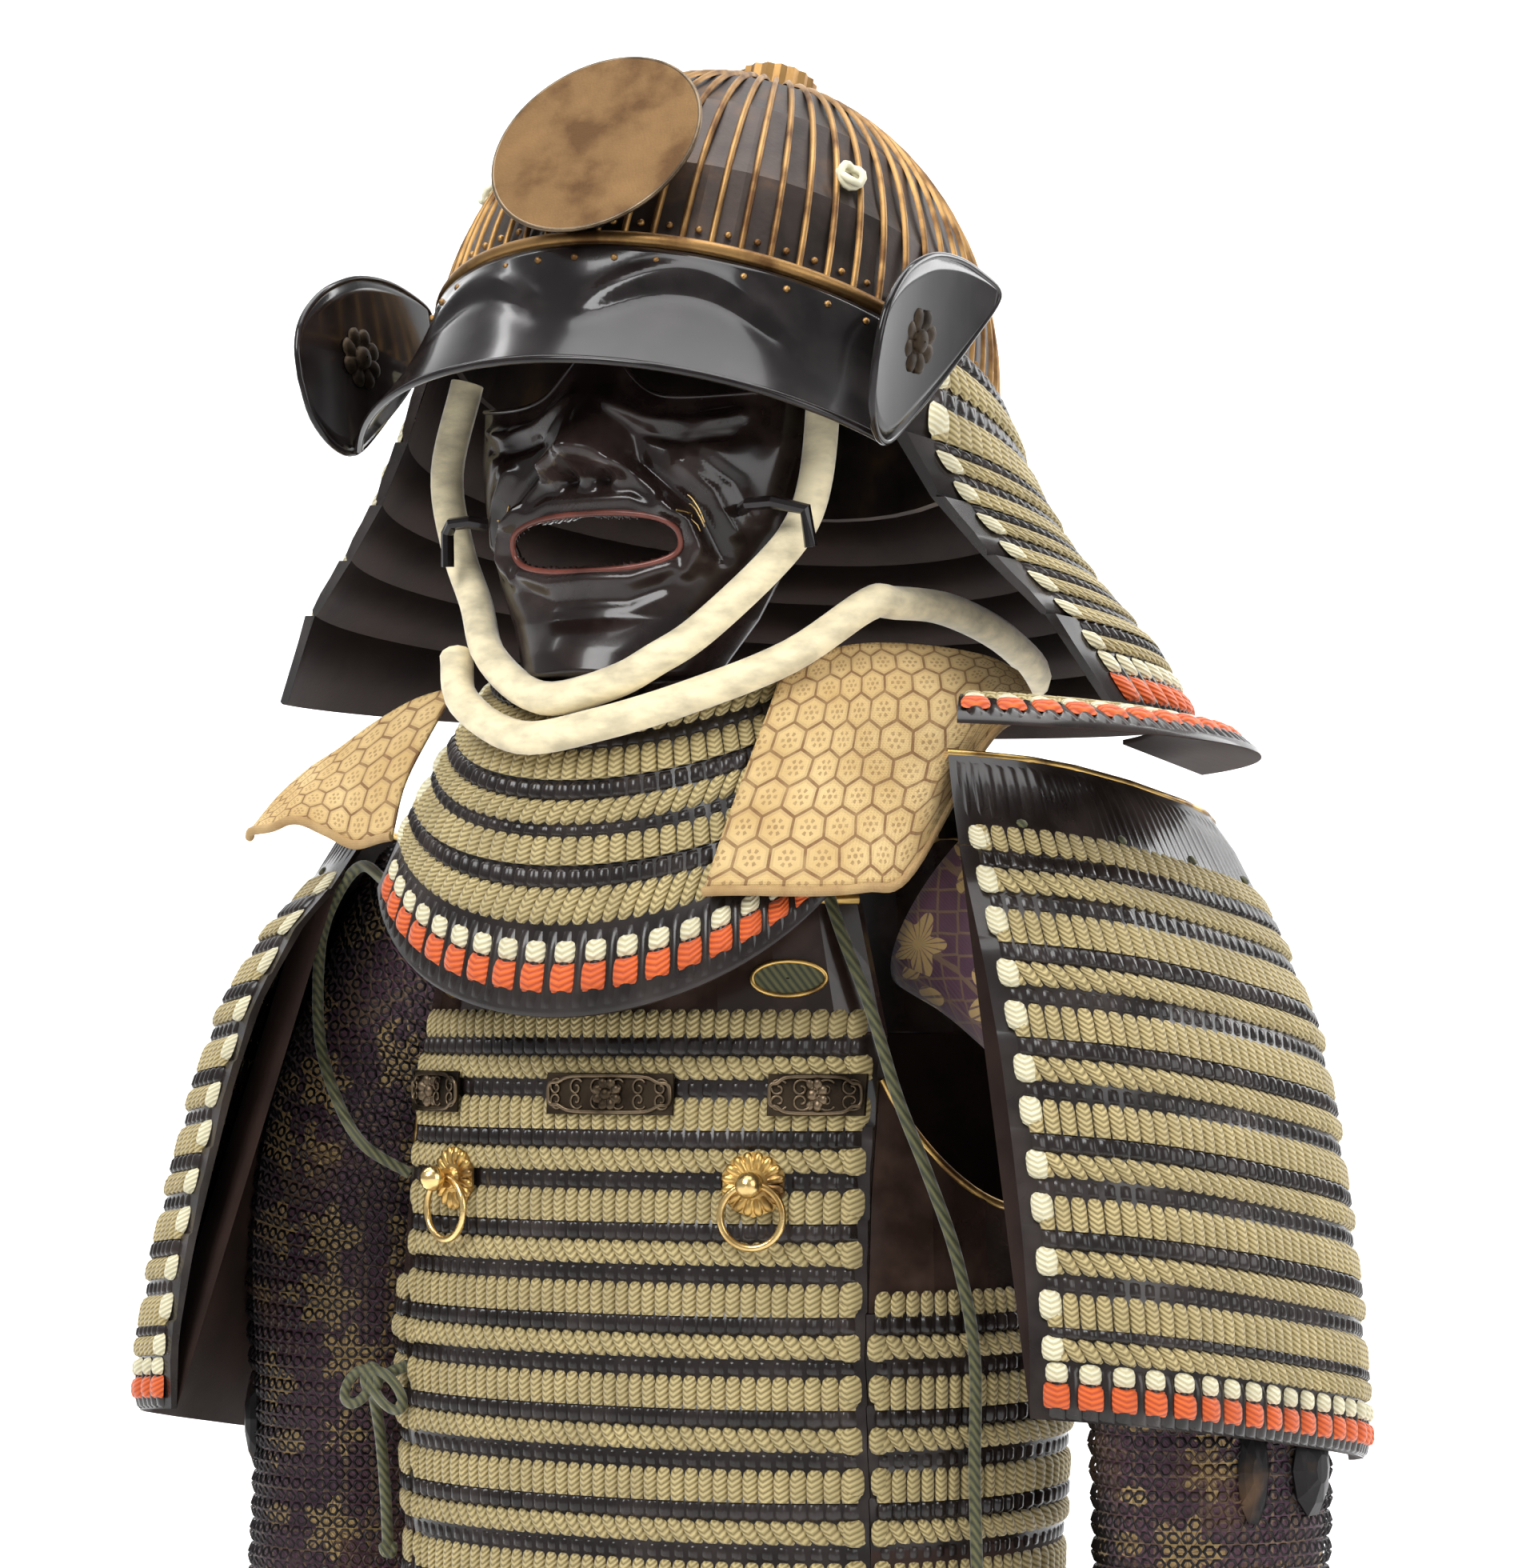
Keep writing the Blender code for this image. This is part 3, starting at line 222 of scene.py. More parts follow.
def visor_point(share: float, fall: float, offset: float) -> Vector:
    """A point on the visor: share from -1 to 1 round the brow, fall from 0 at the rim to 1 at the lip."""
    turn = share * VISOR_SPREAD
    bend = (1 - math.cos(turn)) / (1 - math.cos(VISOR_SPREAD))
    sine = math.sin(turn) / math.sin(VISOR_SPREAD)
    grow = BOWL_RIDGE / 2 + 2 * GAP + offset
    top = helmet((BOWL_HALF_WIDTH + grow) * math.sin(turn), -(BOWL_HALF_LENGTH + grow) * math.cos(turn), 1.5)
    lip = Vector(((120.0 + offset) * sine, -158.0 - offset + 64.0 * bend, 169.0 - 27.0 * bend))
    bulge = 4.0 * math.sin(math.pi * fall)
    outward = Vector((math.sin(turn), -math.cos(turn), 0.0))
    return top.lerp(lip, fall) - outward * bulge


TURNBACK_EDGES = (            # along Y, lower level, upper level
    (-125.0, 169.0, 182.0), (-120.0, 153.0, 194.0), (-108.0, 142.5, 205.0), (-94.0, 141.0, 212.0),
    (-76.0, 152.0, 217.0), (-53.0, 170.0, 218.0), (-32.0, 190.0, 215.0), (-18.0, 205.0, 211.0),
)
NECK_LAMES = 5
NECK_LEVELS = (               # lame edge, half width, half depth, centre y, front z, back z, front edge y
    (0.0, 118.2, 126.4, -3.0, 197.0, 137.5, -50.0),
    (1.0, 135.0, 140.0, 4.0, 148.0, 112.0, -68.0),
    (2.0, 148.0, 149.0, 7.0, 122.0, 95.0, -62.0),
    (3.0, 165.0, 158.0, 10.0, 99.0, 77.0, -54.0),
    (4.0, 184.0, 168.0, 12.0, 76.0, 60.0, -44.0),
    (5.0, 202.0, 178.0, 14.0, 38.0, 36.0, -28.0),
)


def neck_point(level: float, share: float, offset: float) -> Vector:
    """A point on the neck guard: level counts lames down, share runs from its left edge round the back."""
    wide, deep, middle, front_z, back_z, edge = along(NECK_LEVELS, level)
    wide, deep = wide + offset, deep + offset
    edge_sine = max(-0.98, (edge - middle) / deep)
    start = math.asin(edge_sine)
    turn = mix(start, math.pi - start, share)
    y = middle + deep * math.sin(turn)
    fall = (math.sin(turn) - edge_sine) / (1 - edge_sine)
    return Vector((wide * math.cos(turn), y, mix(front_z, back_z, fall)))


MASK_LEVELS = (               # level, half width, front y, rear y
    (43.0, 38.0, -110.0, -68.0),
    (47.0, 43.0, -121.0, -64.0),
    (56.0, 48.0, -117.0, -60.0),
    (70.0, 57.0, -107.0, -56.0),
    (88.0, 66.0, -107.0, -52.0),
    (112.0, 74.0, -108.0, -48.0),
    (140.0, 79.0, -104.0, -47.0),
    (170.0, 79.0, -99.0, -47.0),
    (190.0, 79.0, -96.0, -47.0),
)
MASK_BOTTOM = 43.0
MASK_BRIDGE = 184.0
MASK_CHEEK = 158.0
MASK_SPREAD = math.radians(84.0)
NOSE_REACH = 18.0
MOUTH_HALF_WIDTH = 40.0
MOUTH_LEVEL = 101.0
MOUTH_HALF_HEIGHT = 11.0


def mask_point(side: float, rise: float) -> Vector:
    """A point on the mask: side from -1 to 1 across it, rise from 0 at the chin to 1 at its top edge."""
    turn = side * MASK_SPREAD
    bridge = math.exp(-((side / 0.16) ** 2))
    top = mix(MASK_CHEEK + 7.0 * side * side, MASK_BRIDGE, bridge)
    z = mix(MASK_BOTTOM, top, rise)
    wide, front, rear = along(MASK_LEVELS, z)
    x = wide * math.sin(turn)
    nose_fall = math.exp(-(((z - 140.0) / (9.0 if z < 140.0 else 26.0)) ** 2))
    nose = NOSE_REACH * nose_fall * math.exp(-((x / 17.0) ** 2))
    cheek = 4.0 * math.exp(-(((abs(x) - 50.0) / 14.0) ** 2) - ((z - 132.0) / 14.0) ** 2)
    brow = 3.0 * math.exp(-(((abs(x) - 32.0) / 12.0) ** 2) - ((z - 156.0) / 6.0) ** 2)
    y = mix(rear, front, math.cos(turn) ** 0.8) - nose - cheek - brow
    return Vector((x, y, z))


THROAT_LAMES = 3
THROAT_SPREAD = math.radians(70.0)
THROAT_LEVELS = (             # lame edge, front y, front z, end x, end y, end z
    (0.0, -104.5, 40.4, 70.0, -56.0, 56.0),
    (1.0, -113.0, 3.0, 86.0, -68.0, 30.0),
    (2.0, -119.0, -32.0, 99.0, -82.0, -1.0),
    (3.0, -131.0, -93.0, 110.0, -95.0, -40.0),
)


def throat_point(level: float, side: float, offset: float) -> Vector:
    """A point on the throat guard: level counts lames down, side runs from -1 to 1 round the neck."""
    front_y, front_z, end_x, end_y, end_z = along(THROAT_LEVELS, level)
    turn = side * THROAT_SPREAD
    bend = (1 - math.cos(turn)) / (1 - math.cos(THROAT_SPREAD))
    x = end_x * math.sin(turn) / math.sin(THROAT_SPREAD)
    point = Vector((x, mix(front_y, end_y, bend), mix(front_z, end_z, bend)))
    return point + Vector((math.sin(turn) * 0.7, -math.cos(turn), 0.16)) * offset


def torso_depth(z: float, x: float, offset: float) -> float:
    """How far in front of the torso's axis its wall lies at a level and a distance from the middle."""
    wide, deep = along(TORSO_RINGS, z)
    share = min(abs(x) / (wide + offset), 1.0)
    return (deep + offset) * (1 - share ** TORSO_ROUNDNESS) ** (1 / TORSO_ROUNDNESS)


def torso_side(z: float, turn_share: float, offset: float, edge: float) -> Vector:
    """A point on the left side wall, from the front panel's edge at share 0 to the back panel's at 1."""
    wide, deep = along(TORSO_RINGS, z)
    wide, deep = wide + offset, deep + offset
    last = math.acos((edge / wide) ** (TORSO_ROUNDNESS / 2))
    turn = mix(-last, last, turn_share)
    sine = math.copysign(abs(math.sin(turn)) ** (2 / TORSO_ROUNDNESS), math.sin(turn))
    return Vector((wide * math.cos(turn) ** (2 / TORSO_ROUNDNESS), TORSO_Y + deep * sine, z))


GUARD_EDGES = (               # level, x and y of the front edge, size of the curve round the arm
    (14.0, 139.0, -55.0, 0.85),
    (-18.0, 149.0, -67.0, 0.92),
    (-40.0, 162.0, -82.0, 0.96),
    (-71.0, 175.0, -93.0, 1.0),
    (-105.0, 185.0, -99.0, 1.0),
    (-142.0, 193.0, -104.0, 1.0),
    (-178.0, 200.0, -109.0, 1.0),
    (-216.0, 205.0, -113.0, 1.0),
    (-264.0, 206.0, -114.0, 1.0),
)
GUARD_CURVE = (               # distance round the arm, steps outwards and back, way the face looks
    (0.0, 0.0, 0.0, 27.0),
    (15.0, 13.4, 6.8, 29.0),
    (42.0, 34.7, 22.8, 48.0),
    (69.0, 48.7, 45.5, 68.0),
    (109.0, 59.5, 84.1, 78.0),
    (162.0, 65.6, 137.3, 90.0),
    (189.0, 64.7, 164.1, 98.0),
    (215.0, 58.0, 189.0, 113.0),
    (240.0, 44.8, 210.2, 126.0),
)
GUARD_LAMES = 6
GUARD_TOP = -24.0
GUARD_BOTTOM = -247.0
GUARD_LOWER = {1: 0.0, -1: 14.0}   # the right guard hangs lower, as the arms are posed
GUARD_CLOSER = {1: 0.0, -1: 0.85}
GUARD_DROOP = 0.15            # how much lower the guard hangs, for each millimetre towards the back


def guard_point(level: float, reach: float, offset: float, side: int) -> Vector:
    """A point on a shoulder guard: reach is the distance from its front edge round the arm."""
    x, y, size = along(GUARD_EDGES, level)
    out, back, looks = along(GUARD_CURVE, reach)
    looks = math.radians(looks)
    x += out * size + offset * math.sin(looks) - GUARD_CLOSER[side]
    y += back * size - offset * math.cos(looks)
    return Vector((side * x, y, level - GUARD_LOWER[side] - GUARD_DROOP * back * size))


SLEEVE_RINGS = (              # centre x, y, z, half width, half depth
    (112.0, 15.0, -40.0, 50.0, 50.0),
    (146.0, 18.0, -64.0, 52.0, 52.0),
    (178.0, 22.0, -106.0, 50.0, 51.0),
    (199.0, 25.0, -158.0, 48.0, 50.0),
    (207.0, 27.0, -215.0, 47.0, 48.0),
    (208.0, 28.0, -275.0, 47.0, 47.0),
    (209.0, 27.0, -335.0, 46.0, 46.0),
    (212.0, 22.0, -395.0, 44.0, 45.0),
    (215.0, 12.0, -455.0, 41.0, 42.0),
    (217.0, -2.0, -515.0, 37.0, 38.0),
    (219.0, -16.0, -570.0, 34.0, 35.0),
)
SLEEVE_FOLD = 1.8
SLEEVE_OUT = {1: 7.4, -1: 0.0}     # the left arm is held further out


def sleeve_ring(station: int, side: int, offset: float, count: int) -> list[Vector]:
    """One ring round the arm, square to its run."""
    x, y, z, wide, deep = SLEEVE_RINGS[station]
    before = SLEEVE_RINGS[max(station - 1, 0)]
    after = SLEEVE_RINGS[min(station + 1, len(SLEEVE_RINGS) - 1)]
    run = Vector([b - a for a, b in zip(before[:3], after[:3])]).normalized()
    x += SLEEVE_OUT[side] * min(station, 2) / 2
    forward = Vector((0.0, -1.0, 0.0))
    forward = (forward - run * forward.dot(run)).normalized()
    out = forward.cross(run)
    ring = []
    for i in range(count):
        turn = math.tau * i / count
        inside = 0 < station < len(SLEEVE_RINGS) - 1
        fold = SLEEVE_FOLD * math.sin(3 * turn + 1.7 * station) if inside else 0.0
        reach = out * (wide + offset + fold) * math.cos(turn)
        reach += forward * (deep + offset + fold) * math.sin(turn)
        point = Vector((x, y, z)) + reach
        ring.append(Vector((side * point.x, point.y, point.z)))
    return ring


FITTINGS = (                  # name, from x, to x
    ("breast_fitting_right", -110.0, -71.0),
    ("breast_fitting_middle", -20.0, 39.0),
    ("breast_fitting_left", 77.0, 110.0),
)
FITTING_LEVEL = -124.0
FITTING_HALF_HEIGHT = 8.5
ROSETTE_RADIUS = 13.4
ROSETTE_LOOKS = math.radians(20.0)
EYE_DEPTH = 5.6               # from the rosette's back to the middle of the eye


def rosette_frame(side: int) -> tuple[Vector, Vector, Vector, Vector]:
    """Origin and directions (outwards, across, up) of a rosette on the chest."""
    seat = 4.2
    x = side * RING_X
    origin = Vector((x, TORSO_Y - torso_depth(RING_LEVEL, x, seat), RING_LEVEL))
    outwards = Vector((side * math.sin(ROSETTE_LOOKS), -math.cos(ROSETTE_LOOKS), 0.0))
    across = Vector((math.cos(ROSETTE_LOOKS), side * math.sin(ROSETTE_LOOKS), 0.0))
    return origin, outwards, across, Vector((0.0, 0.0, 1.0))


TASSET_RINGS = (              # level, half width, half depth
    (-400.0, 146.0, 114.0),
    (-430.0, 150.0, 120.0),
    (-520.0, 158.0, 136.0),
    (-629.0, 167.0, 156.0),
)
HELMET_CORD_ROUTE = (
    (-85.0, -67.0, 176.0), (-92.0, -72.0, 138.0), (-86.0, -73.0, 106.0),
    (-72.0, -80.0, 81.0), (-50.0, -102.0, 56.0),
    (-15.0, -117.8, 37.4), (18.0, -116.7, 42.5), (38.0, -114.8, 51.6),
    (53.0, -106.3, 62.8), (74.0, -89.0, 88.0), (83.0, -77.0, 106.0),
    (87.0, -71.0, 126.0), (87.0, -65.0, 157.0), (85.0, -61.0, 183.0),
)
NECK_CORD_ROUTE = (
    (-72.0, -95.0, 58.0), (-60.0, -107.2, 37.6), (-25.0, -118.7, 21.6),
    (15.0, -120.8, 25.8), (52.0, -108.6, 36.9),
    (82.0, -82.6, 53.2), (102.0, -55.0, 75.0), (105.0, -38.0, 77.0), (108.0, 5.0, 77.0), (105.0, 65.0, 68.0),
    (85.0, 130.0, 55.0), (40.0, 150.0, 45.0),
)
WAIST_CORD_ROUTE = (
    (-108.5, -78.2, -241.0), (-121.0, -77.0, -246.0), (-134.0, -66.0, -251.0), (-140.0, -57.0, -257.0),
    (-138.0, -55.0, -275.0), (-134.0, -57.0, -300.0), (-132.0, -58.0, -325.0),
)
SIDE_CORD_ROUTE = (
    (91.0, -71.0, -38.0), (100.0, -72.0, -60.0), (112.0, -70.0, -90.0),
    (122.0, -66.0, -125.0), (131.0, -58.0, -155.0),
    (140.0, -49.0, -190.0), (145.0, -43.0, -230.0), (145.0, -43.0, -280.0),
    (147.0, -43.0, -340.0), (148.0, -42.0, -372.0),
)
ARM_CORD_ROUTE = (
    (-117.2, -80.0, -36.0), (-139.1, -68.0, -28.0), (-157.1, -62.0, -42.0),
    (-169.2, -56.0, -63.0), (-174.0, -50.0, -100.0),
    (-166.0, -50.0, -126.0), (-149.0, -53.0, -148.0), (-130.6, -43.5, -161.0),
)
COLLAR_LEFT = (               # from the edge over the throat round to the back, each column from the top down
    ((75.0, -76.0, 50.0), (76.0, -87.0, 36.0), (72.0, -97.6, 12.0),
     (69.0, -111.0, -14.0), (64.0, -121.0, -42.0)),
    ((90.0, -62.0, 57.0), (95.0, -73.0, 38.0), (97.0, -87.0, 13.0),
     (97.0, -104.0, -14.0), (98.0, -114.0, -42.0)),
    ((100.0, -44.0, 60.0), (109.0, -57.0, 40.0), (114.0, -72.0, 13.0),
     (119.0, -87.0, -13.0), (124.0, -96.0, -41.0)),
    ((112.0, -16.0, 60.0), (124.0, -32.0, 42.0), (134.7, -49.0, 14.0),
     (135.0, -64.0, -8.0), (134.0, -76.0, -33.0)),
    ((118.0, 20.0, 58.0), (124.0, 14.0, 50.0), (130.0, 6.0, 40.0), (134.0, -4.0, 32.0), (136.0, -10.0, 24.0)),
    ((116.0, 52.0, 54.0), (120.0, 50.0, 50.0), (124.0, 48.0, 45.0), (127.0, 46.0, 40.0), (129.0, 44.0, 35.0)),
)
COLLAR_RIGHT = (
    ((-95.0, -60.0, 48.0), (-100.0, -73.0, 28.0), (-105.6, -84.0, 6.0), (-107.5, -90.5, -16.0)),
    ((-117.0, -60.0, 43.0), (-121.0, -71.0, 24.0), (-125.0, -82.0, 3.0), (-126.0, -90.0, -19.0)),
    ((-135.0, -65.0, 33.0), (-138.0, -73.0, 18.0), (-140.0, -82.0, 2.0), (-141.0, -89.0, -14.0)),
    ((-150.0, -70.0, 22.0), (-153.0, -76.0, 12.0), (-156.0, -82.0, 2.0), (-158.0, -86.0, -8.0)),
    ((-163.0, -73.0, 14.0), (-166.0, -77.0, 6.0), (-169.0, -81.0, -2.0), (-172.0, -84.0, -10.0)),
    ((-176.0, -76.0, 3.0), (-179.0, -78.0, -2.0), (-182.0, -79.0, -7.0), (-186.0, -81.0, -12.0)),
    ((-189.0, -77.0, -10.0), (-189.6, -77.4, -11.4), (-190.2, -77.9, -12.8), (-190.8, -78.3, -14.2)),
)


def add_piece(name: str, mesh: bpy.types.Mesh,
              replaced: Sequence[str] = ()) -> bpy.types.Object:
    """Links a mesh as one piece of the look, which moves with the armour.

    Args:
        name: The piece's name.
        mesh: Its mesh, in metres in the row frame.
        replaced: CAD nodes that it stands for.

    Returns:
        The new object.
    """
    made = link_new(name, mesh)
    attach(made, "armour")
    if replaced:
        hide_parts(*replaced)
    LOG.info("made %s", name)
    return made


Place = Callable[[float, float, float], Vector]
BRAID_UNIT = 10.0   # millimetres of braid to one UV unit


class Finish(Enum):
    """Material of each kind of element, by its place in a piece's slots."""

    BLACK = 0
    KHAKI = 1
    CREAM = 2
    ORANGE = 3
    OLIVE = 4
    LINING = 5


@dataclass
class Patches:
    """Quads gathered as arrays, made into one mesh at the end.

    Args:
        points: Blocks of points in millimetres.
        faces: Blocks of quads that index all the points.
        coords: Blocks of UVs, one for each point.
        kinds: Blocks of material indices, one for each quad.
    """

    points: list = field(default_factory=list)
    faces: list = field(default_factory=list)
    coords: list = field(default_factory=list)
    kinds: list = field(default_factory=list)
    count: int = 0

    def add_grids(self, grids: np.ndarray, kind: Finish = Finish.BLACK, coords: np.ndarray | None = None,
                  closed: bool = False) -> None:
        """Adds grids of quads.

        Args:
            grids: Points as an array (grid, row, column, 3).
            kind: The material.
            coords: UVs as an array (grid, row, column, 2), or none for a plain surface.
            closed: Whether each row's last column joins its first.
        """
        number, rows, columns = grids.shape[:3]
        index = np.arange(number * rows * columns).reshape(number, rows, columns) + self.count
        left, right = index, np.roll(index, -1, axis=2)
        if not closed:
            left, right = left[:, :, :-1], right[:, :, :-1]
        quads = np.stack([left[:, :-1], left[:, 1:], right[:, 1:], right[:, :-1]], axis=-1).reshape(-1, 4)
        self.points.append(grids.reshape(-1, 3))
        self.coords.append(np.zeros((index.size, 2)) if coords is None else coords.reshape(-1, 2))
        self.faces.append(quads)
        self.kinds.append(np.full(len(quads), kind.value))
        self.count += index.size

    def to_mesh(self, name: str, materials: Sequence[bpy.types.Material],
                move: Matrix | None = None) -> bpy.types.Mesh:
        """Makes the mesh, in metres, with smooth faces."""
        points = np.concatenate(self.points) * MM
        if move is not None:
            turn = np.array(move)
            points = points @ turn[:3, :3].T + turn[:3, 3]
        faces = np.concatenate(self.faces).astype(np.int32)
        coords = np.concatenate(self.coords).astype(np.float32)
        mesh = bpy.data.meshes.new(name)
        mesh.vertices.add(len(points))
        mesh.vertices.foreach_set("co", points.astype(np.float32).ravel())
        mesh.loops.add(faces.size)
        mesh.loops.foreach_set("vertex_index", faces.ravel())
        mesh.polygons.add(len(faces))
        mesh.polygons.foreach_set("loop_start", np.arange(0, faces.size, 4, dtype=np.int32))
        mesh.polygons.foreach_set("use_smooth", np.ones(len(faces), bool))
        layer = mesh.uv_layers.new(name="braid")
        layer.data.foreach_set("uv", coords[faces.ravel()].ravel())
        for finish in materials:
            mesh.materials.append(finish)
        mesh.polygons.foreach_set("material_index", np.concatenate(self.kinds).astype(np.int32))
        mesh.update()
        mesh.validate()
        return mesh


def grid_piece(name: str, grid: np.ndarray, finish: bpy.types.Material,
               replaced: Sequence[str] = (), move: Matrix | None = None) -> bpy.types.Object:
    """A piece made of one block of grids, in one finish.

    Args:
        name: The piece's name.
        grid: Points in millimetres as an array (grid, row, column, 3), or of one grid without the first.
        finish: Its material.
        replaced: CAD nodes that it stands for.
        move: A turn that its points get, in metres.

    Returns:
        The new object.
    """
    patches = Patches()
    patches.add_grids(grid if grid.ndim == 4 else grid[None])
    return add_piece(name, patches.to_mesh(name, [finish], move), replaced)


@dataclass
class Wall:
    """A laced wall, sampled so that many small elements can be laid on it at once.

    Args:
        place: Gives the point at a share across and a share down, lifted by an offset in millimetres.
        columns: Samples across.
        rows: Samples down.
    """

    place: Place
    columns: int = 33
    rows: int = 25

    def __post_init__(self) -> None:
        shares = np.linspace(0.0, 1.0, self.columns)
        falls = np.linspace(0.0, 1.0, self.rows)
        self.ground = np.array([[tuple(self.place(s, f, 0.0)) for f in falls] for s in shares])
        lifted = np.array([[tuple(self.place(s, f, 4.0)) for f in falls] for s in shares])
        self.lift = (lifted - self.ground) / 4.0
        across = np.linalg.norm(np.diff(self.ground, axis=0), axis=2)
        self.width = float(across.sum(axis=0).mean())
        down = np.linalg.norm(np.diff(self.ground, axis=1), axis=2)
        self.height = float(down.sum(axis=1).mean())
        self.flipped = self._flipped()

    def _flipped(self) -> bool:
        """Whether quads over growing share and fall face inwards."""
        i, j = self.columns // 2, self.rows // 2
        across = self.ground[i + 1, j] - self.ground[i, j]
        down = self.ground[i, j + 1] - self.ground[i, j]
        return bool(np.dot(np.cross(down, across), self.lift[i, j]) < 0)

    def at(self, shares: np.ndarray, falls: np.ndarray, offsets: np.ndarray) -> np.ndarray:
        """Points on the wall for arrays of share, fall and offset."""
        shares, falls, offsets = np.broadcast_arrays(shares, falls, offsets)
        x = np.clip(shares, 0.0, 1.0) * (self.columns - 1)
        y = np.clip(falls, 0.0, 1.0) * (self.rows - 1)
        i = np.minimum(x.astype(int), self.columns - 2)
        j = np.minimum(y.astype(int), self.rows - 2)
        u, v = (x - i)[..., None], (y - j)[..., None]

        def blend(table: np.ndarray) -> np.ndarray:
            upper = table[i, j] * (1 - u) + table[i + 1, j] * u
            lower = table[i, j + 1] * (1 - u) + table[i + 1, j + 1] * u
            return upper * (1 - v) + lower * v

        return blend(self.ground) + blend(self.lift) * offsets[..., None]


@dataclass
class Lacer:
    """Lays one lame after another of ribs, ropes, braids and knots on a wall.

    Args:
        wall: The wall to lace.
        pitch: Width of one rib or braid, in millimetres.
        margin: Bare width at each end of the wall, in millimetres.
        patches: Where the elements are gathered.
    """

    wall: Wall
    pitch: float
    margin: float = 3.0
    patches: Patches = field(default_factory=Patches)

    def __post_init__(self) -> None:
        self.bare = self.margin / self.wall.width
        self.count = max(3, round((self.wall.width - 2 * self.margin) / self.pitch))
        self.step = (1.0 - 2 * self.bare) / self.count
        self.centres = self.bare + (np.arange(self.count) + 0.5) * self.step

    def _grids(self, shares: np.ndarray, falls: np.ndarray, offsets: np.ndarray) -> np.ndarray:
        grids = self.wall.at(shares, falls, offsets)
        return grids[:, :, ::-1] if self.wall.flipped else grids

    def base(self, profile: Sequence[tuple[float, float]], inner: float = -1.2) -> None:
        """The plain shell under the lacing: it follows (fall, offset) rows, with a matt lining inside."""
        count = len(profile)
        shares = np.linspace(0.0, 1.0, max(8, self.count))
        outside = np.array(profile)
        inside = np.array([profile[-1], (profile[-1][0], inner), (profile[0][0], inner), profile[0]])
        for rows, kind in ((outside, Finish.BLACK), (inside, Finish.LINING)):
            grid = self._grids(shares[None, None, :], rows[None, :, 0, None], rows[None, :, 1, None])
            self.patches.add_grids(grid, kind)
        for end in (0.0, 1.0):
            near = self.wall.at(np.full(count, end), outside[:, 0], outside[:, 1])
            far = self.wall.at(np.full(count, end), outside[:, 0], np.full(count, inner))
            side = np.stack([near, far], axis=1)[None]
            self.patches.add_grids(side if end else side[:, :, ::-1])

    def ribs(self, start: float, end: float, low: float, high: float, kind: Finish = Finish.BLACK) -> None:
        """Upright ribs side by side, rounded over at both ends."""
        falls = start + (end - start) * np.array([0.0, 0.1, 0.3, 0.75, 0.93, 1.0])
        swell = np.array([-0.6, 0.55, 1.0, 1.0, 0.6, -0.4])
        steps_across = self.count * 4 + 1
        places = np.linspace(0.0, self.count, steps_across)
        shares = self.bare + places * self.step
        wave = np.abs(np.sin(np.pi * places)) ** 0.6
        offsets = low + (high - low) * (0.04 + 0.96 * wave)[None, :] * swell[:, None]
        grid = self._grids(shares[None, None, :], falls[None, :, None], offsets[None])
        self.patches.add_grids(grid, kind)

    def strands(self, start: float, end: float, low: float, height: float, width: float, kind: Finish,
                slant: float = 0.0, centres: np.ndarray | None = None, square: bool = False,
                block: bool = False) -> None:
        """One raised strand for each rib.

        Args:
            start: Fall of its upper end.
            end: Fall of its lower end.
            low: Offset of its edges.
            height: How far its middle stands above its edges, in millimetres.
            width: Its width, as a share of the pitch.
            kind: Its material.
            slant: How far its lower end lies to one side, in pitches.
            centres: Shares of the strands' middles, where they aren't one to a rib.
            square: Whether its lower end is cut square, to dip behind the next lame.
            block: Whether it is a broad block with barely rounded corners.
        """
        middles = self.centres if centres is None else centres
        rows = np.array([0.0, 0.12, 0.32, 0.7, 0.9, 1.0])
        narrow = np.array([0.45, 0.86, 1.0, 1.0, 1.0 if square else 0.86, 1.0 if square else 0.45])
        rise = np.array([-0.1, 0.7, 1.0, 1.0, 0.95 if square else 0.7, 0.75 if square else -0.1])
        if block:
            narrow = np.array([0.82, 0.96, 1.0, 1.0, 0.96, 0.82])
        angles = np.linspace(0.0, math.pi, 6)
        step = self.step
        offset_across = -np.cos(angles)[None, :] * narrow[:, None] * width * step / 2
        lean = (rows - 0.5)[:, None] * slant * step
        shares = middles[:, None, None] + offset_across[None] + lean[None]
        falls = (start + (end - start) * rows)[None, :, None]
        heights = low + height * (np.sin(angles)[None, :] ** 0.8 * rise[:, None])[None]
        shares = np.clip(shares, 0.0, 1.0)
        falls = np.broadcast_to(falls, shares.shape)
        heights = np.broadcast_to(heights, shares.shape)
        grid = self._grids(shares, falls, heights)
        u = np.broadcast_to(np.linspace(0.0, 1.0, 6)[None, None, :], shares.shape)
        v = falls * self.wall.height
        self.patches.add_grids(grid, kind, np.stack([u, v / BRAID_UNIT], axis=-1))

    def knots(self, fall: float, low: float, radius: float, height: float, kind: Finish,
              centres: np.ndarray) -> None:
        """Small round knots in a row."""
        rings = np.array([[1.0, 0.0], [0.9, 0.5], [0.55, 0.88], [0.04, 1.0]])
        turns = np.linspace(0.0, math.tau, 9)
        reach = rings[:, 0][:, None] * radius
        shares = centres[:, None, None] + (reach * np.cos(turns)[None])[None] / self.wall.width
        falls = fall + (reach * np.sin(turns)[None])[None] / self.wall.height
        falls = np.broadcast_to(falls, shares.shape)
        offsets = np.broadcast_to((low + height * rings[:, 1])[None, :, None], shares.shape)
        grid = self._grids(shares, falls, offsets)[:, ::-1]
        self.patches.add_grids(grid, kind)


Socket = bpy.types.NodeSocket


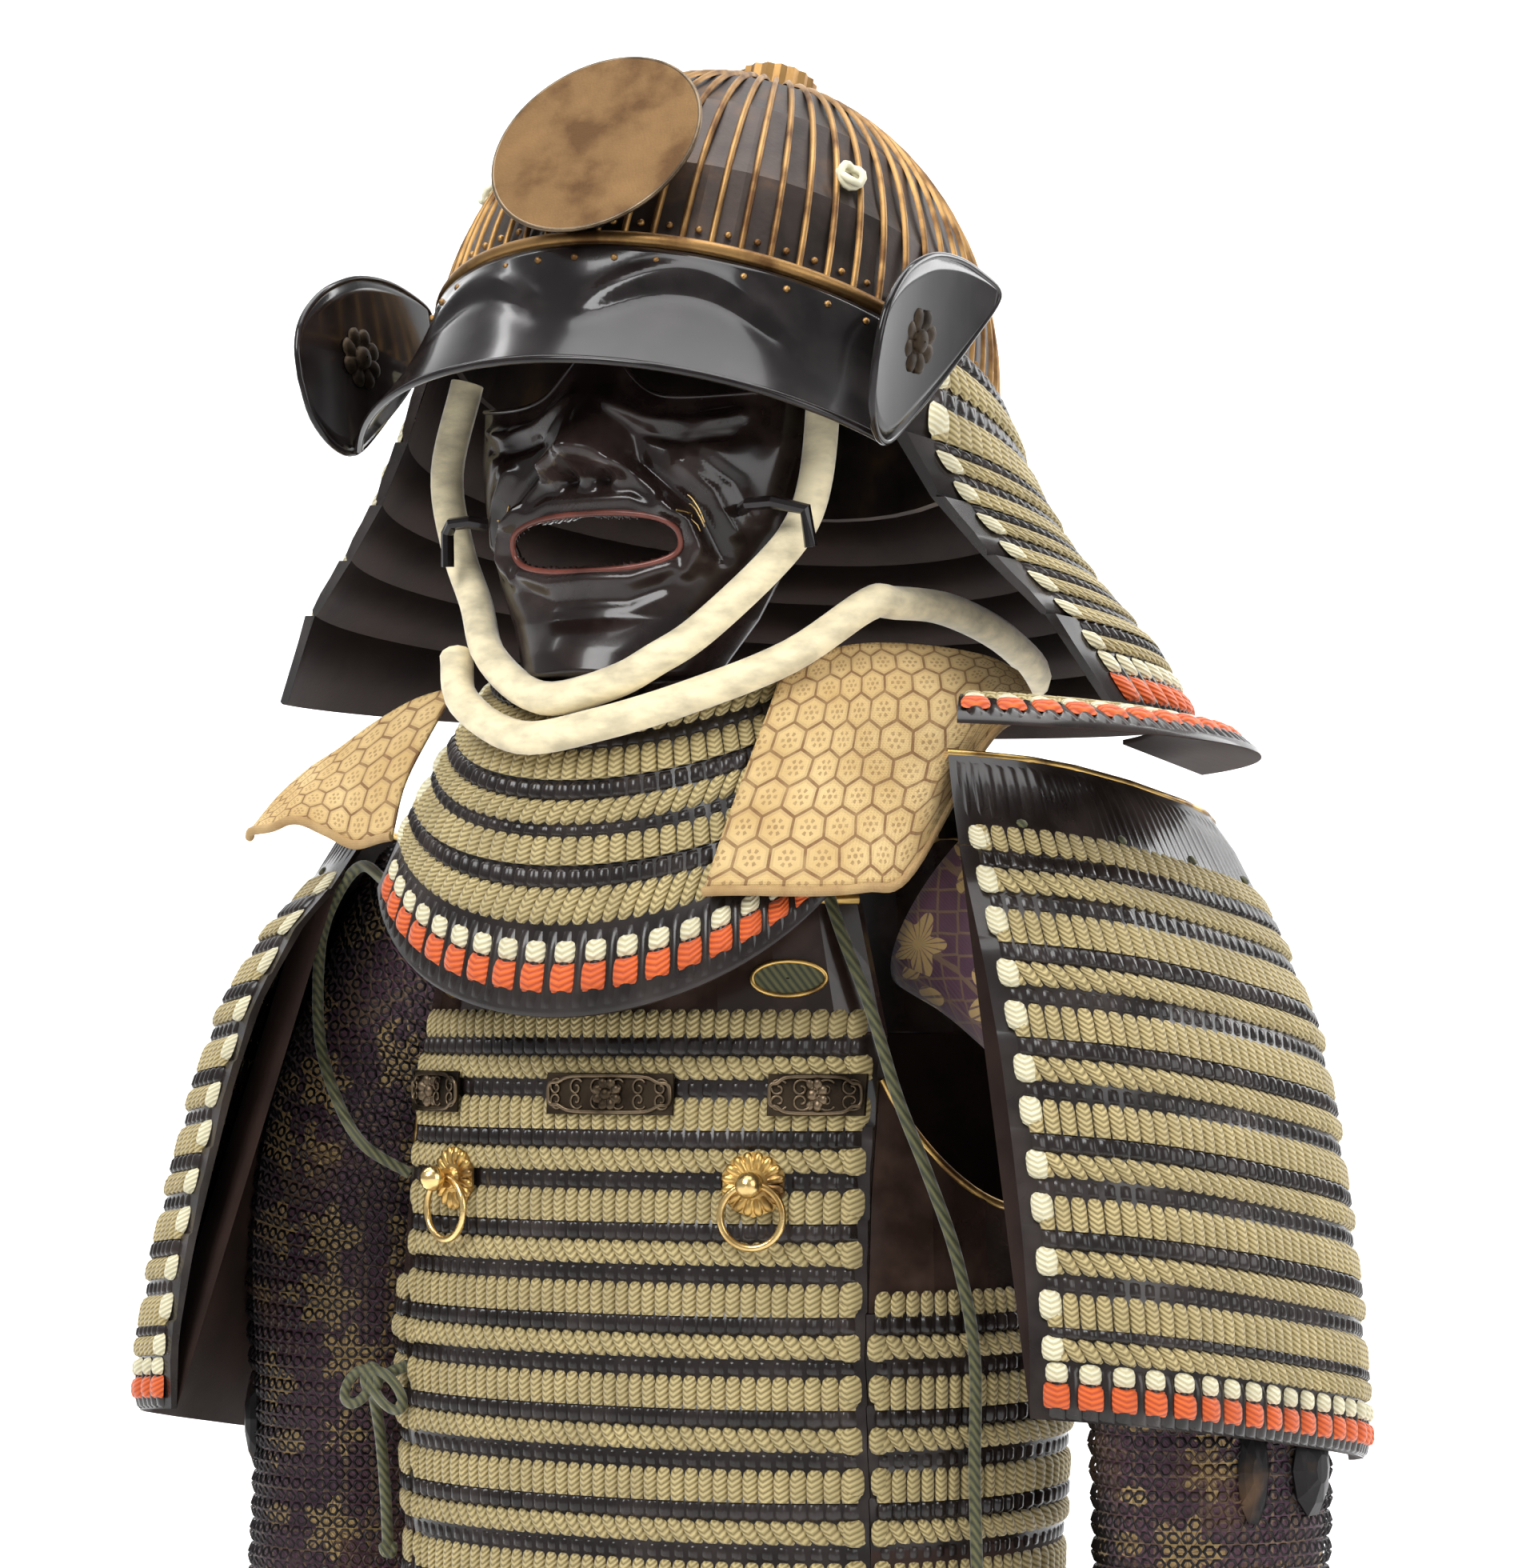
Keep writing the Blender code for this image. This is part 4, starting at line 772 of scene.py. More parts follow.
def shade(colour: Colour, factor: float) -> Colour:
    """The colour made darker or lighter by a factor."""
    return tuple(min(1.0, c * factor) for c in colour)


@dataclass
class Shader:
    """A material under construction: its node tree and its Principled node.

    Args:
        name: The material's name.
        colour: Linear base colour.
        roughness: From 0, glossy, to 1, matt.
        metallic: From 0 to 1.
    """

    name: str
    colour: Colour
    roughness: float
    metallic: float = 0.0

    def __post_init__(self) -> None:
        self.material = bpy.data.materials.new(self.name)
        self.material.use_nodes = True
        self.tree = self.material.node_tree
        self.principled = self.tree.nodes["Principled BSDF"]
        self.principled.inputs["Base Color"].default_value = (*self.colour, 1.0)
        self.principled.inputs["Roughness"].default_value = self.roughness
        self.principled.inputs["Metallic"].default_value = self.metallic
        self.normal = None
        self.coords = None

    def node(self, kind: str, **values: object) -> bpy.types.Node:
        """Adds a node and sets its properties and inputs by name."""
        made = self.tree.nodes.new(kind)
        for key, value in values.items():
            if hasattr(made, key):
                setattr(made, key, value)
            else:
                made.inputs[key.replace("_", " ")].default_value = value
        return made

    def link(self, out: Socket, into: Socket) -> None:
        """Links two sockets."""
        self.tree.links.new(out, into)

    def object_coords(self, scale: Colour = (1.0, 1.0, 1.0)) -> Socket:
        """Object coordinates in metres, stretched by scale."""
        if self.coords is None:
            self.coords = self.node("ShaderNodeTexCoord")
        mapping = self.node("ShaderNodeMapping")
        mapping.inputs["Scale"].default_value = scale
        self.link(self.coords.outputs["Object"], mapping.inputs["Vector"])
        return mapping.outputs["Vector"]

    def noise(self, scale: float, detail: float = 3.0, stretch: Colour = (1.0, 1.0, 1.0)) -> Socket:
        """A noise value in object space."""
        made = self.node("ShaderNodeTexNoise")
        made.inputs["Scale"].default_value = scale
        made.inputs["Detail"].default_value = detail
        self.link(self.object_coords(stretch), made.inputs["Vector"])
        return made.outputs["Fac"]

    def ramp(self, value: Socket, stops: Sequence[tuple[float, Colour]]) -> Socket:
        """A colour read from stops of (position, colour)."""
        made = self.node("ShaderNodeValToRGB")
        elements = made.color_ramp.elements
        while len(elements) < len(stops):
            elements.new(0.5)
        for element, (position, colour) in zip(elements, stops):
            element.position = position
            element.color = (*colour, 1.0)
        self.link(value, made.inputs["Fac"])
        return made.outputs["Color"]

    def paint(self, colour: Socket) -> None:
        """Uses a colour as the base colour."""
        self.link(colour, self.principled.inputs["Base Color"])

    def rough(self, value: Socket, low: float, high: float) -> None:
        """Varies the roughness with a value from 0 to 1."""
        made = self.node("ShaderNodeMapRange")
        made.inputs["To Min"].default_value = low
        made.inputs["To Max"].default_value = high
        self.link(value, made.inputs["Value"])
        self.link(made.outputs["Result"], self.principled.inputs["Roughness"])

    def bump(self, height: Socket, depth_mm: float, strength: float = 1.0) -> None:
        """Adds a bump of that depth on top of those before it."""
        made = self.node("ShaderNodeBump")
        made.inputs["Strength"].default_value = strength
        made.inputs["Distance"].default_value = depth_mm * MM
        self.link(height, made.inputs["Height"])
        if self.normal is not None:
            self.link(self.normal, made.inputs["Normal"])
        self.normal = made.outputs["Normal"]
        self.link(self.normal, self.principled.inputs["Normal"])

    def value(self, operation: str, first: object, second: object = 0.0) -> Socket:
        """A Math node's result, from sockets or numbers."""
        made = self.node("ShaderNodeMath", operation=operation)
        for place, given in zip(made.inputs, (first, second)):
            if isinstance(given, Socket):
                self.link(given, place)
            else:
                place.default_value = given
        return made.outputs["Value"]

    def blend(self, share: Socket, first: object, second: object) -> Socket:
        """A colour between two, by a share from 0 to 1."""
        made = self.node("ShaderNodeMix", data_type="RGBA")
        self.link(share, made.inputs["Factor"])
        for place, given in ((made.inputs["A"], first), (made.inputs["B"], second)):
            if isinstance(given, Socket):
                self.link(given, place)
            else:
                place.default_value = (*given, 1.0)
        return made.outputs["Result"]


def braid_group() -> bpy.types.NodeTree:
    """Height of the plaits in a flat braid: chevrons along its length, from its UVs."""
    group = bpy.data.node_groups.new("braid_plaits", "ShaderNodeTree")
    group.interface.new_socket("Pitch", in_out="INPUT", socket_type="NodeSocketFloat").default_value = 5.0
    group.interface.new_socket("Height", in_out="OUTPUT", socket_type="NodeSocketFloat")
    nodes, links = group.nodes, group.links
    entry, leave = nodes.new("NodeGroupInput"), nodes.new("NodeGroupOutput")
    uv = nodes.new("ShaderNodeUVMap")
    uv.uv_map = "braid"
    split = nodes.new("ShaderNodeSeparateXYZ")
    links.new(uv.outputs["UV"], split.inputs["Vector"])

    def math_node(operation: str, first: object, second: object = 0.0) -> Socket:
        made = nodes.new("ShaderNodeMath")
        made.operation = operation
        for place, given in zip(made.inputs, (first, second)):
            if isinstance(given, Socket):
                links.new(given, place)
            else:
                place.default_value = given
        return made.outputs["Value"]

    side = math_node("ABSOLUTE", math_node("SUBTRACT", split.outputs["X"], 0.5))
    run = math_node("ADD", split.outputs["Y"], math_node("MULTIPLY", side, 0.55))
    phase = math_node("MULTIPLY", run, entry.outputs["Pitch"])
    wave = math_node("SINE", math_node("MULTIPLY", phase, math.tau))
    links.new(math_node("ADD", math_node("MULTIPLY", wave, 0.5), 0.5), leave.inputs["Height"])
    return group


def braid_material(name: str, light: Colour, dark: Colour,
                   plaits: bpy.types.NodeTree) -> bpy.types.Material:
    """Silk or hemp braid: chevrons that raise its face, with painted shade that darkens its colour in the
    hollows between the plaits, under a soft sheen.
    """
    shader = Shader(name, light, 0.62)
    plait = shader.node("ShaderNodeGroup", node_tree=plaits)
    plait.inputs["Pitch"].default_value = 4.2
    wear = shader.noise(55.0, 4.0)
    tone = shader.ramp(wear, ((0.3, shade(light, 0.74)), (0.7, light)))
    # painted shade: the plaits' height darkens the colour towards the dark tone in their hollows
    shader.paint(shader.blend(shader.value("POWER", plait.outputs["Height"], 0.6), dark, tone))
    shader.bump(plait.outputs["Height"], 0.55, 0.9)
    shader.bump(shader.noise(900.0, 2.0), 0.12, 0.6)
    shader.principled.inputs["Sheen Weight"].default_value = 0.25
    shader.principled.inputs["Sheen Roughness"].default_value = 0.4
    return shader.material


def lacquer_material(name: str, colour: Colour, roughness: float = 0.16,
                     wear: float = 1.0) -> bpy.types.Material:
    """Lacquer over iron or hide: glossy, with faint waves, dust and small rubs."""
    shader = Shader(name, colour, roughness)
    spots = shader.noise(42.0, 6.0)
    warm = tuple(min(1.0, c * 2.6 + 0.006) for c in colour)
    shader.paint(shader.ramp(spots, ((0.42, colour), (0.72, warm))))
    shader.rough(shader.noise(19.0, 5.0), roughness * 0.75, roughness + 0.16 * wear)
    shader.bump(shader.noise(60.0, 2.0), 0.18, 0.35)
    shader.principled.inputs["Coat Weight"].default_value = 0.2
    shader.principled.inputs["Coat Roughness"].default_value = 0.08
    shader.principled.inputs["Specular IOR Level"].default_value = 0.3
    return shader.material


def leather_material(name: str, colour: Colour) -> bpy.types.Material:
    """Matt hide on the inside of laced walls, with pores and darker hollows."""
    shader = Shader(name, colour, 0.75)
    patches = shader.noise(30.0, 5.0)
    shader.paint(shader.ramp(patches, ((0.3, shade(colour, 0.6)), (0.7, shade(colour, 1.3)))))
    shader.bump(shader.noise(700.0, 3.0), 0.2, 0.5)
    shader.principled.inputs["Specular IOR Level"].default_value = 0.2
    return shader.material


def gilt_material(name: str, colour: Colour = (0.62, 0.40, 0.13), roughness: float = 0.3,
                  tarnish: Colour = (0.16, 0.09, 0.035)) -> bpy.types.Material:
    """Gilt copper: worn highs over tarnished hollows, with a punched grain."""
    shader = Shader(name, colour, roughness, 1.0)
    patches = shader.noise(48.0, 6.0)
    shader.paint(shader.ramp(patches, ((0.36, tarnish), (0.52, colour), (0.75, shade(colour, 1.25)))))
    shader.rough(patches, roughness + 0.18, roughness - 0.06)
    grain = shader.node("ShaderNodeTexVoronoi")
    grain.inputs["Scale"].default_value = 900.0
    shader.link(shader.object_coords(), grain.inputs["Vector"])
    shader.bump(grain.outputs["Distance"], 0.12, 0.35)
    return shader.material


def iron_material(name: str, colour: Colour = (0.055, 0.040, 0.034)) -> bpy.types.Material:
    """Russet iron: brown patina, pitted and rubbed brighter in places."""
    shader = Shader(name, colour, 0.42, 0.75)
    patina = shader.noise(26.0, 8.0)
    rubbed = (0.15, 0.085, 0.045)
    shader.paint(shader.ramp(patina, ((0.34, shade(colour, 0.45)), (0.55, colour), (0.74, rubbed))))
    shader.rough(patina, 0.28, 0.55)
    shader.bump(shader.noise(420.0, 3.0), 0.15, 0.5)
    return shader.material


def velvet_material(name: str, colour: Colour) -> bpy.types.Material:
    """Padded cord's velvety cover, creased across at the bends, with painted shade in the creases and a
    painted highlight on their crests.
    """
    shader = Shader(name, colour, 0.85)
    creases = shader.noise(70.0, 4.0, (1.0, 1.0, 2.2))
    crease_shade_and_highlight = ((0.28, shade(colour, 0.62)), (0.6, colour), (0.85, shade(colour, 1.1)))
    # painted shade and highlight: the creases' own noise darkens their hollows and lightens their crests
    shader.paint(shader.ramp(creases, crease_shade_and_highlight))
    shader.bump(creases, 1.4, 0.6)
    shader.bump(shader.noise(1400.0, 2.0), 0.15, 0.5)
    shader.principled.inputs["Sheen Weight"].default_value = 0.6
    shader.principled.inputs["Sheen Roughness"].default_value = 0.35
    return shader.material


LACE_PITCH = 6.5               # width of a braid on the cuirass and the shoulder guards
PANEL_INSET = 0.985            # the first row of the panels is this much narrower
GUARD_REACH = GUARD_CURVE[-1][0]
BODY_PROFILE = ((0.0, 2.6), (0.27, 2.2), (0.45, 2.6), (0.97, 1.4))
BODY_TAIL = 1.5


@dataclass(frozen=True)
class LameFace:
    """Where each band of a lame ends, as shares of its height from the top.

    Args:
        head: End of the ribbed head.
        twist: End of the slanted ropes.
        scales: End of the ribbed scales under them.
    """

    head: float = 0.24
    twist: float = 0.49
    scales: float = 0.68


def laced_lame(lacer: Lacer, top: float, bottom: float, face: LameFace = LameFace(), lift: float = 0.0,
               ends: Finish = Finish.CREAM) -> None:
    """Laces one lame: ribbed head, slanted ropes, ribbed scales and upright braids.

    Args:
        lacer: Lays the rows on the wall.
        top: Fall of its upper edge.
        bottom: Fall of its lower edge.
        face: Where its bands end.
        lift: How much further out all of it lies, in millimetres.
        ends: Material of the knots at both ends.
    """
    def at(share: float) -> float:
        return mix(top, bottom, share)

    lacer.ribs(at(0.0), at(face.head), 1.6 + lift, 4.6 + lift)
    lacer.strands(at(face.head - 0.015), at(face.twist), 2.4 + lift, 2.7, 1.0, Finish.KHAKI, slant=0.85)
    lacer.ribs(at(face.twist - 0.01), at(face.scales), 1.0 + lift, 3.2 + lift)
    lacer.strands(at(face.scales - 0.02), at(1.03), 1.6 + lift, 3.1, 0.96, Finish.KHAKI, square=True)
    end_knots(lacer, at(face.scales - 0.03), at(0.97), 2.2 + lift, ends)
    end_knots(lacer, at(face.head - 0.03), at(face.twist + 0.02), 2.8 + lift, ends)


def end_knots(lacer: Lacer, start: float, end: float, low: float, kind: Finish = Finish.CREAM) -> None:
    """A knot at each end of a row of braids."""
    inset = lacer.step * 0.30
    centres = np.array([lacer.bare + inset, 1.0 - lacer.bare - inset])
    lacer.strands(start, end, low, 3.2, 1.35 if kind is Finish.CREAM else 1.1, kind, centres=centres)


def last_lame(lacer: Lacer, top: float, bottom: float, lift: float = 0.0, edge: float = 5.0) -> None:
    """Laces the lowest lame: ropes, a row of cream knots, a row of orange ones and a ribbed edge.

    Args:
        lacer: Lays the rows on the wall.
        top: Fall of its upper edge.
        bottom: Fall of its lower edge.
        lift: How much further out all of it lies, in millimetres.
        edge: Height of its ribbed edge, in millimetres.
    """
    def at(share: float) -> float:
        return mix(top, bottom, share)

    tall = (bottom - top) * lacer.wall.height
    orange_end = 1.0 - edge / tall
    cream_end = orange_end - 10.5 / tall
    cream_start = cream_end - 8.5 / tall
    rope_end = max(0.2, min(0.40, cream_start - 0.01))
    lacer.ribs(at(0.0), at(0.16), 1.6 + lift, 4.6 + lift)
    lacer.strands(at(0.14), at(rope_end), 2.4 + lift, 2.7, 1.0, Finish.KHAKI, slant=0.85)
    end_knots(lacer, at(0.12), at(rope_end), 2.8 + lift)
    lacer.ribs(at(rope_end - 0.02), at(1.0), 1.2 + lift, 3.9 + lift)
    centres = lacer.centres[::2]
    lacer.strands(at(cream_start), at(cream_end), 2.8 + lift, 2.8, 1.32, Finish.CREAM, centres=centres)
    lacer.strands(at(cream_end), at(orange_end), 2.8 + lift, 3.0, 1.62, Finish.ORANGE, centres=centres,
                  block=True)


def wall_profile(lames: int) -> list[tuple[float, float]]:
    """Rows of (fall, offset) of the plain shell below the lacing."""
    rows = [((i + share) / lames, proud) for i in range(lames) for share, proud in BODY_PROFILE]
    return rows + [(1.0, BODY_TAIL)]


@dataclass
class LacedWalls:
    """Builds every laced piece of the armour.

    Args:
        finishes: The materials, in the order of Finish.
        helmet_turn: The turn that the helmet's pieces share, in metres.
    """

    finishes: list
    helmet_turn: Matrix

    def _finish(self, node: str, lacer: Lacer, move: Matrix | None = None) -> None:
        """Makes the piece that stands for a node."""
        mesh = lacer.patches.to_mesh(node + "_lacing", self.finishes, move)
        add_piece(node + "_lacing", mesh, [node])

    def _whole_wall(self, node: str, wall: Wall, lames: int, first: Wall) -> None:
        """A wall of several lames on one node, with a first row of braids above it."""
        lacer = Lacer(wall, LACE_PITCH)
        lacer.base(wall_profile(lames))
        for i in range(lames):
            laced_lame(lacer, i / lames, (i + 1) / lames, ends=Finish.KHAKI)
        Lacer(first, LACE_PITCH, patches=lacer.patches).strands(0.0, 1.0, 1.2, 3.0, 0.96, Finish.KHAKI)
        self._finish(node, lacer)

    def cuirass(self) -> None:
        """The laced front, back and sides of the cuirass."""
        def panel(facing: int, top: float, bottom: float, half: float) -> Place:
            def place(share: float, fall: float, offset: float) -> Vector:
                level = mix(top, bottom, fall)
                x = -facing * half * (2 * share - 1)
                return Vector((x, TORSO_Y + facing * torso_depth(level, x, offset), level))
            return place

        def flank(side: int, top: float, bottom: float) -> Place:
            def place(share: float, fall: float, offset: float) -> Vector:
                point = torso_side(mix(top, bottom, fall), share, offset, PANEL_HALF_WIDTH + GAP)
                return Vector((side * point.x, point.y, point.z))
            return place

        for node, facing in (("cuirass_front", -1), ("cuirass_back", 1)):
            whole = panel(facing, FRONT_TOP, HEM, PANEL_HALF_WIDTH)
            first = panel(facing, FRONT_TOP + 10.5, FRONT_TOP - 2.5, PANEL_HALF_WIDTH * PANEL_INSET)
            self._whole_wall(node, Wall(whole, 41, 33), FRONT_LAMES, Wall(first, 41, 5))
        for name, side in SIDES:
            first = flank(side, SIDE_TOP + 9.0, SIDE_TOP - 2.5)
            self._whole_wall(f"cuirass_side_{name}", Wall(flank(side, SIDE_TOP, HEM), 25, 25), SIDE_LAMES,
                             Wall(first, 25, 5))

    def shoulder_guards(self) -> None:
        """The two big shoulder guards and the flap at the wearer's left."""
        def guard(side: int, top: float, bottom: float) -> Place:
            def place(share: float, fall: float, offset: float) -> Vector:
                return guard_point(mix(top, bottom, fall), share * GUARD_REACH, offset, side)
            return place

        for name, side in SIDES:
            lacer = Lacer(Wall(guard(side, GUARD_TOP, GUARD_BOTTOM), 49, 37), LACE_PITCH, 7.0)
            lacer.base(wall_profile(GUARD_LAMES))
            for i in range(GUARD_LAMES - 1):
                laced_lame(lacer, i / GUARD_LAMES, (i + 1) / GUARD_LAMES)
            last_lame(lacer, (GUARD_LAMES - 1) / GUARD_LAMES, 1.0)
            first = Wall(guard(side, GUARD_TOP + 9.5, GUARD_TOP - 2.5), 49, 5)
            upper = Lacer(first, LACE_PITCH, 7.0, lacer.patches)
            upper.strands(0.0, 1.0, 1.6, 3.0, 0.96, Finish.KHAKI)
            end_knots(upper, 0.05, 0.95, 1.8)
            self._finish(f"shoulder_guard_{name}", lacer)
        self._flap()

    def _flap(self) -> None:
        """The small flap: one fan of scales with ropes, cream knots and orange ones."""
        rows = ((0.0, 88.0, 29.6), (0.35, 104.0, 28.4), (0.75, 122.0, 24.5), (1.0, 134.0, 17.5))

        def place(share: float, fall: float, offset: float) -> Vector:
            turn, rise = mix(-1.15, 1.05, share), 4.0 - 12.0 * (share - 0.1)
            reach, z = along(rows, fall)
            return Vector((118.0 + reach * 0.92 * math.cos(turn), 2.0 + reach * 0.86 * math.sin(turn),
                           z + rise + 2.6 + offset * 0.9 - 3.0))

        lacer = Lacer(Wall(place, 31, 15), 6.3)
        lacer.base(((0.0, 2.4), (0.5, 2.4), (0.98, 2.6), (1.0, 0.6)), inner=0.2)
        lacer.ribs(0.02, 0.24, 1.6, 3.6)
        lacer.strands(0.22, 0.44, 2.2, 2.4, 1.0, Finish.KHAKI, slant=0.85)
        lacer.ribs(0.42, 0.99, 1.2, 3.6)
        lacer.strands(0.46, 0.62, 2.6, 2.4, 1.32, Finish.CREAM, centres=lacer.centres[::2])
        lacer.strands(0.62, 0.84, 2.6, 2.6, 1.62, Finish.ORANGE, centres=lacer.centres[::2], block=True)
        self._finish("shoulder_flap_left", lacer)

    def neck_guard(self) -> None:
        """The five lames of the helmet's neck guard."""
        for i in range(NECK_LAMES):
            def place(share: float, fall: float, offset: float, i: int = i) -> Vector:
                return neck_point(i + fall, share, offset)

            lacer = Lacer(Wall(place, 49, 13), 6.8, 13.0)
            if i == NECK_LAMES - 1:
                lacer.base(((0.0, 4.0), (0.3, 3.4), (0.97, 3.4), (1.0, 1.8)), inner=-0.6)
                last_lame(lacer, 0.0, 0.99, lift=1.0, edge=4.0)
            else:
                lacer.base(((0.0, 3.8), (0.3, 3.2), (0.6, 3.2), (0.9, 2.2), (1.0, 0.2)), inner=-1.8)
                laced_lame(lacer, 0.0, 1.0, LameFace(0.20, 0.50, 0.68), 1.2)
            self._finish(f"neck_lame_{i + 1}", lacer, self.helmet_turn)

    def throat_guard(self) -> None:
        """The three lames that hang from the mask."""
        for i in range(THROAT_LAMES):
            def place(share: float, fall: float, offset: float, i: int = i) -> Vector:
                return throat_point(i + fall, 1 - 2 * share, offset)

            lacer = Lacer(Wall(place, 33, 13), 6.4, 4.0)
            if i == THROAT_LAMES - 1:
                lacer.base(((0.0, 3.0), (0.3, 2.8), (0.97, 3.0), (1.0, 1.6)), inner=-0.6)
                last_lame(lacer, 0.0, 0.99, lift=0.4, edge=8.0)
            else:
                lacer.base(((0.0, 3.0), (0.3, 2.6), (0.6, 2.6), (1.0, 0.6)), inner=-1.0)
                laced_lame(lacer, 0.0, 1.0, LameFace(0.24, 0.52, 0.66), 0.4)
            self._finish(f"throat_lame_{i + 1}", lacer)

    def tassets(self) -> None:
        """The seven hanging skirt panels, each on bare laces from the hem."""
        top, bottom = HEM - TASSET_LACES, HEM - TASSET_DROP
        laces = (HEM - GAP - top) / (HEM - GAP - bottom)
        for i in range(TASSETS):
            def place(share: float, fall: float, offset: float, i: int = i) -> Vector:
                level = mix(HEM - GAP, bottom, fall)
                wide, deep = along(TASSET_RINGS, level)
                spread = math.radians(360.0 / TASSETS) - math.radians(1.8 + 1.4 * (HEM - level) / TASSET_DROP)
                turn = math.tau * i / TASSETS + (share - 0.5) * spread
                sine, cosine = (math.copysign(abs(part) ** (2 / TORSO_ROUNDNESS), part)
                                for part in (math.sin(turn), math.cos(turn)))
                return Vector(((wide + offset) * sine, TORSO_Y - (deep + offset) * cosine, level))

            lacer = Lacer(Wall(place, 17, 27), 6.8)
            lacer.strands(0.0, laces + 0.01, 0.2, 2.4, 0.9, Finish.KHAKI, square=True)
            profile = [(laces, 2.4)]
            for lame in range(TASSET_LAMES):
                low = mix(laces, 1.0, lame / TASSET_LAMES)
                high = mix(laces, 1.0, (lame + 1) / TASSET_LAMES)
                profile += [(mix(low, high, 0.3), 2.2), (mix(low, high, 0.95), 1.6)]
                if lame == TASSET_LAMES - 1:
                    last_lame(lacer, low, 0.995)
                else:
                    laced_lame(lacer, low, high)
            lacer.base(profile + [(1.0, 1.6)])
            self._finish(f"tasset_{i + 1}", lacer)


def round_turns(count: int) -> np.ndarray:
    """Angles of a full turn in count steps, without the last."""
    return np.linspace(0.0, math.tau, count + 1)[:-1]


def rod(name: str, points: Sequence[Vector], diameter: float, finish: bpy.types.Material,
        closed: bool = False, body: str = "armour", resolution: int = 3) -> bpy.types.Object:
    """A round cord, rod or rim through points in millimetres.

    Args:
        name: The piece's name.
        points: Its route.
        diameter: Its thickness in millimetres.
        finish: Its material.
        closed: Whether its last point joins its first.
        body: The body of the frame that it moves with.
        resolution: Steps in a quarter of its section.

    Returns:
        The new object.
    """
    line = bpy.data.curves.new(name, "CURVE")
    line.dimensions = "3D"
    spline = line.splines.new("POLY")
    spline.points.add(len(points) - 1)
    for place, point in zip(spline.points, points):
        place.co = (*(Vector(point) * MM), 1.0)
    spline.use_cyclic_u = closed
    spline.use_smooth = True
    line.bevel_depth = diameter / 2 * MM
    line.bevel_resolution = resolution
    line.use_fill_caps = True
    line.materials.append(finish)
    made = link_new(name, line)
    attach(made, body)
    LOG.info("made %s", name)
    return made


@dataclass(frozen=True)
class CordPlan:
    """One cord of the armour.

    Args:
        node: The CAD node it stands for.
        route: Its points, in millimetres.
        length: Its length in metres; not used.
        diameter: Its diameter in millimetres.
        far_end: What its far end is.
        stiffness: How stiff it is; not used.
        slot: The material slot, by name, that it takes its finish from.
    """

    node: str
    route: tuple
    length: float
    diameter: float
    far_end: str
    stiffness: str
    slot: str


@dataclass
class Cords:
    """The padded cords and the olive ties.

    Args:
        finishes: Materials by name.
        bow: Middle of the bow on the waist cord, in millimetres.
    """

    finishes: dict
    bow: Vector = field(default_factory=lambda: Vector((-124.0, -78.5, -247.0)))
    plans: tuple = (
        CordPlan("helmet_cord", HELMET_CORD_ROUTE, 0.401, CORD_DIAMETER, "object", "medium", "cream_cord"),
        CordPlan("neck_cord", NECK_CORD_ROUTE, 0.475, CORD_DIAMETER, "object", "medium", "cream_cord"),
        CordPlan("waist_cord", WAIST_CORD_ROUTE, 0.113, TIE_DIAMETER, "knot", "limp", "olive_braid"),
        CordPlan("side_cord", SIDE_CORD_ROUTE, 0.345, TIE_DIAMETER, "object", "limp", "olive_braid"),
        CordPlan("arm_cord_right", ARM_CORD_ROUTE, 0.194, TIE_DIAMETER, "object", "limp", "olive_braid"),
    )

    def build(self) -> None:
        """Builds every cord with what is tied into it."""
        for plan in self.plans:
            route = smooth_route(plan.route, 6)
            finish = self.finishes[plan.slot]
            made = rod(plan.node + "_soft", route, plan.diameter, finish, resolution=4)
            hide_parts(plan.node)
            knot = self.knot_and_bow(route[-1]) if plan.far_end == "knot" else []

    def knot_and_bow(self, end: Vector) -> list[bpy.types.Object]:
        """The knot that ends the waist cord, and the bow higher up.

        Args:
            end: The cord's last point, in millimetres.

        Returns:
            The four pieces of knot and bow.
        """
        loops = [("waist_cord_knot", 3.4, [
            end + Vector((2.75 * math.cos(t), 1.76 * math.sin(t), 1.92 * math.sin(2 * t) + 2.0))
            for t in round_turns(24)
        ])]
        for index, (way, size) in enumerate(((1.0, 17.0), (-1.0, 13.0))):
            loops.append((f"waist_bow_{index + 1}", 4.4, [
                self.bow + Vector((way * size * (1 - math.cos(t)) * 0.5, -3.4 - 1.5 * math.sin(t / 2),
                                   6.5 * math.sin(t) - size * 0.28 * (1 - math.cos(t))))
                for t in round_turns(32)
            ]))
        loops.append(("waist_bow_wrap", 4.6, [
            self.bow + Vector((3.4 * math.cos(t), -3.4, 5.0 * math.sin(t))) for t in round_turns(24)
        ]))
        return [rod(name, loop, thick, self.finishes["olive_braid"], closed=True, resolution=4)
                for name, thick, loop in loops]


def catmull(rows: np.ndarray, per_span: int) -> np.ndarray:
    """Rows of points with smooth rows put between them."""
    ends = np.concatenate([[2 * rows[0] - rows[1]], rows, [2 * rows[-1] - rows[-2]]])
    made = []
    for a, b, c, d in zip(ends, ends[1:], ends[2:], ends[3:]):
        for step in range(per_span):
            t = step / per_span
            made.append(0.5 * (2 * b + (c - a) * t + (2 * a - 5 * b + 4 * c - d) * t * t
                               + (3 * b - a - 3 * c + d) * t ** 3))
    return np.array(made + [rows[-1]])


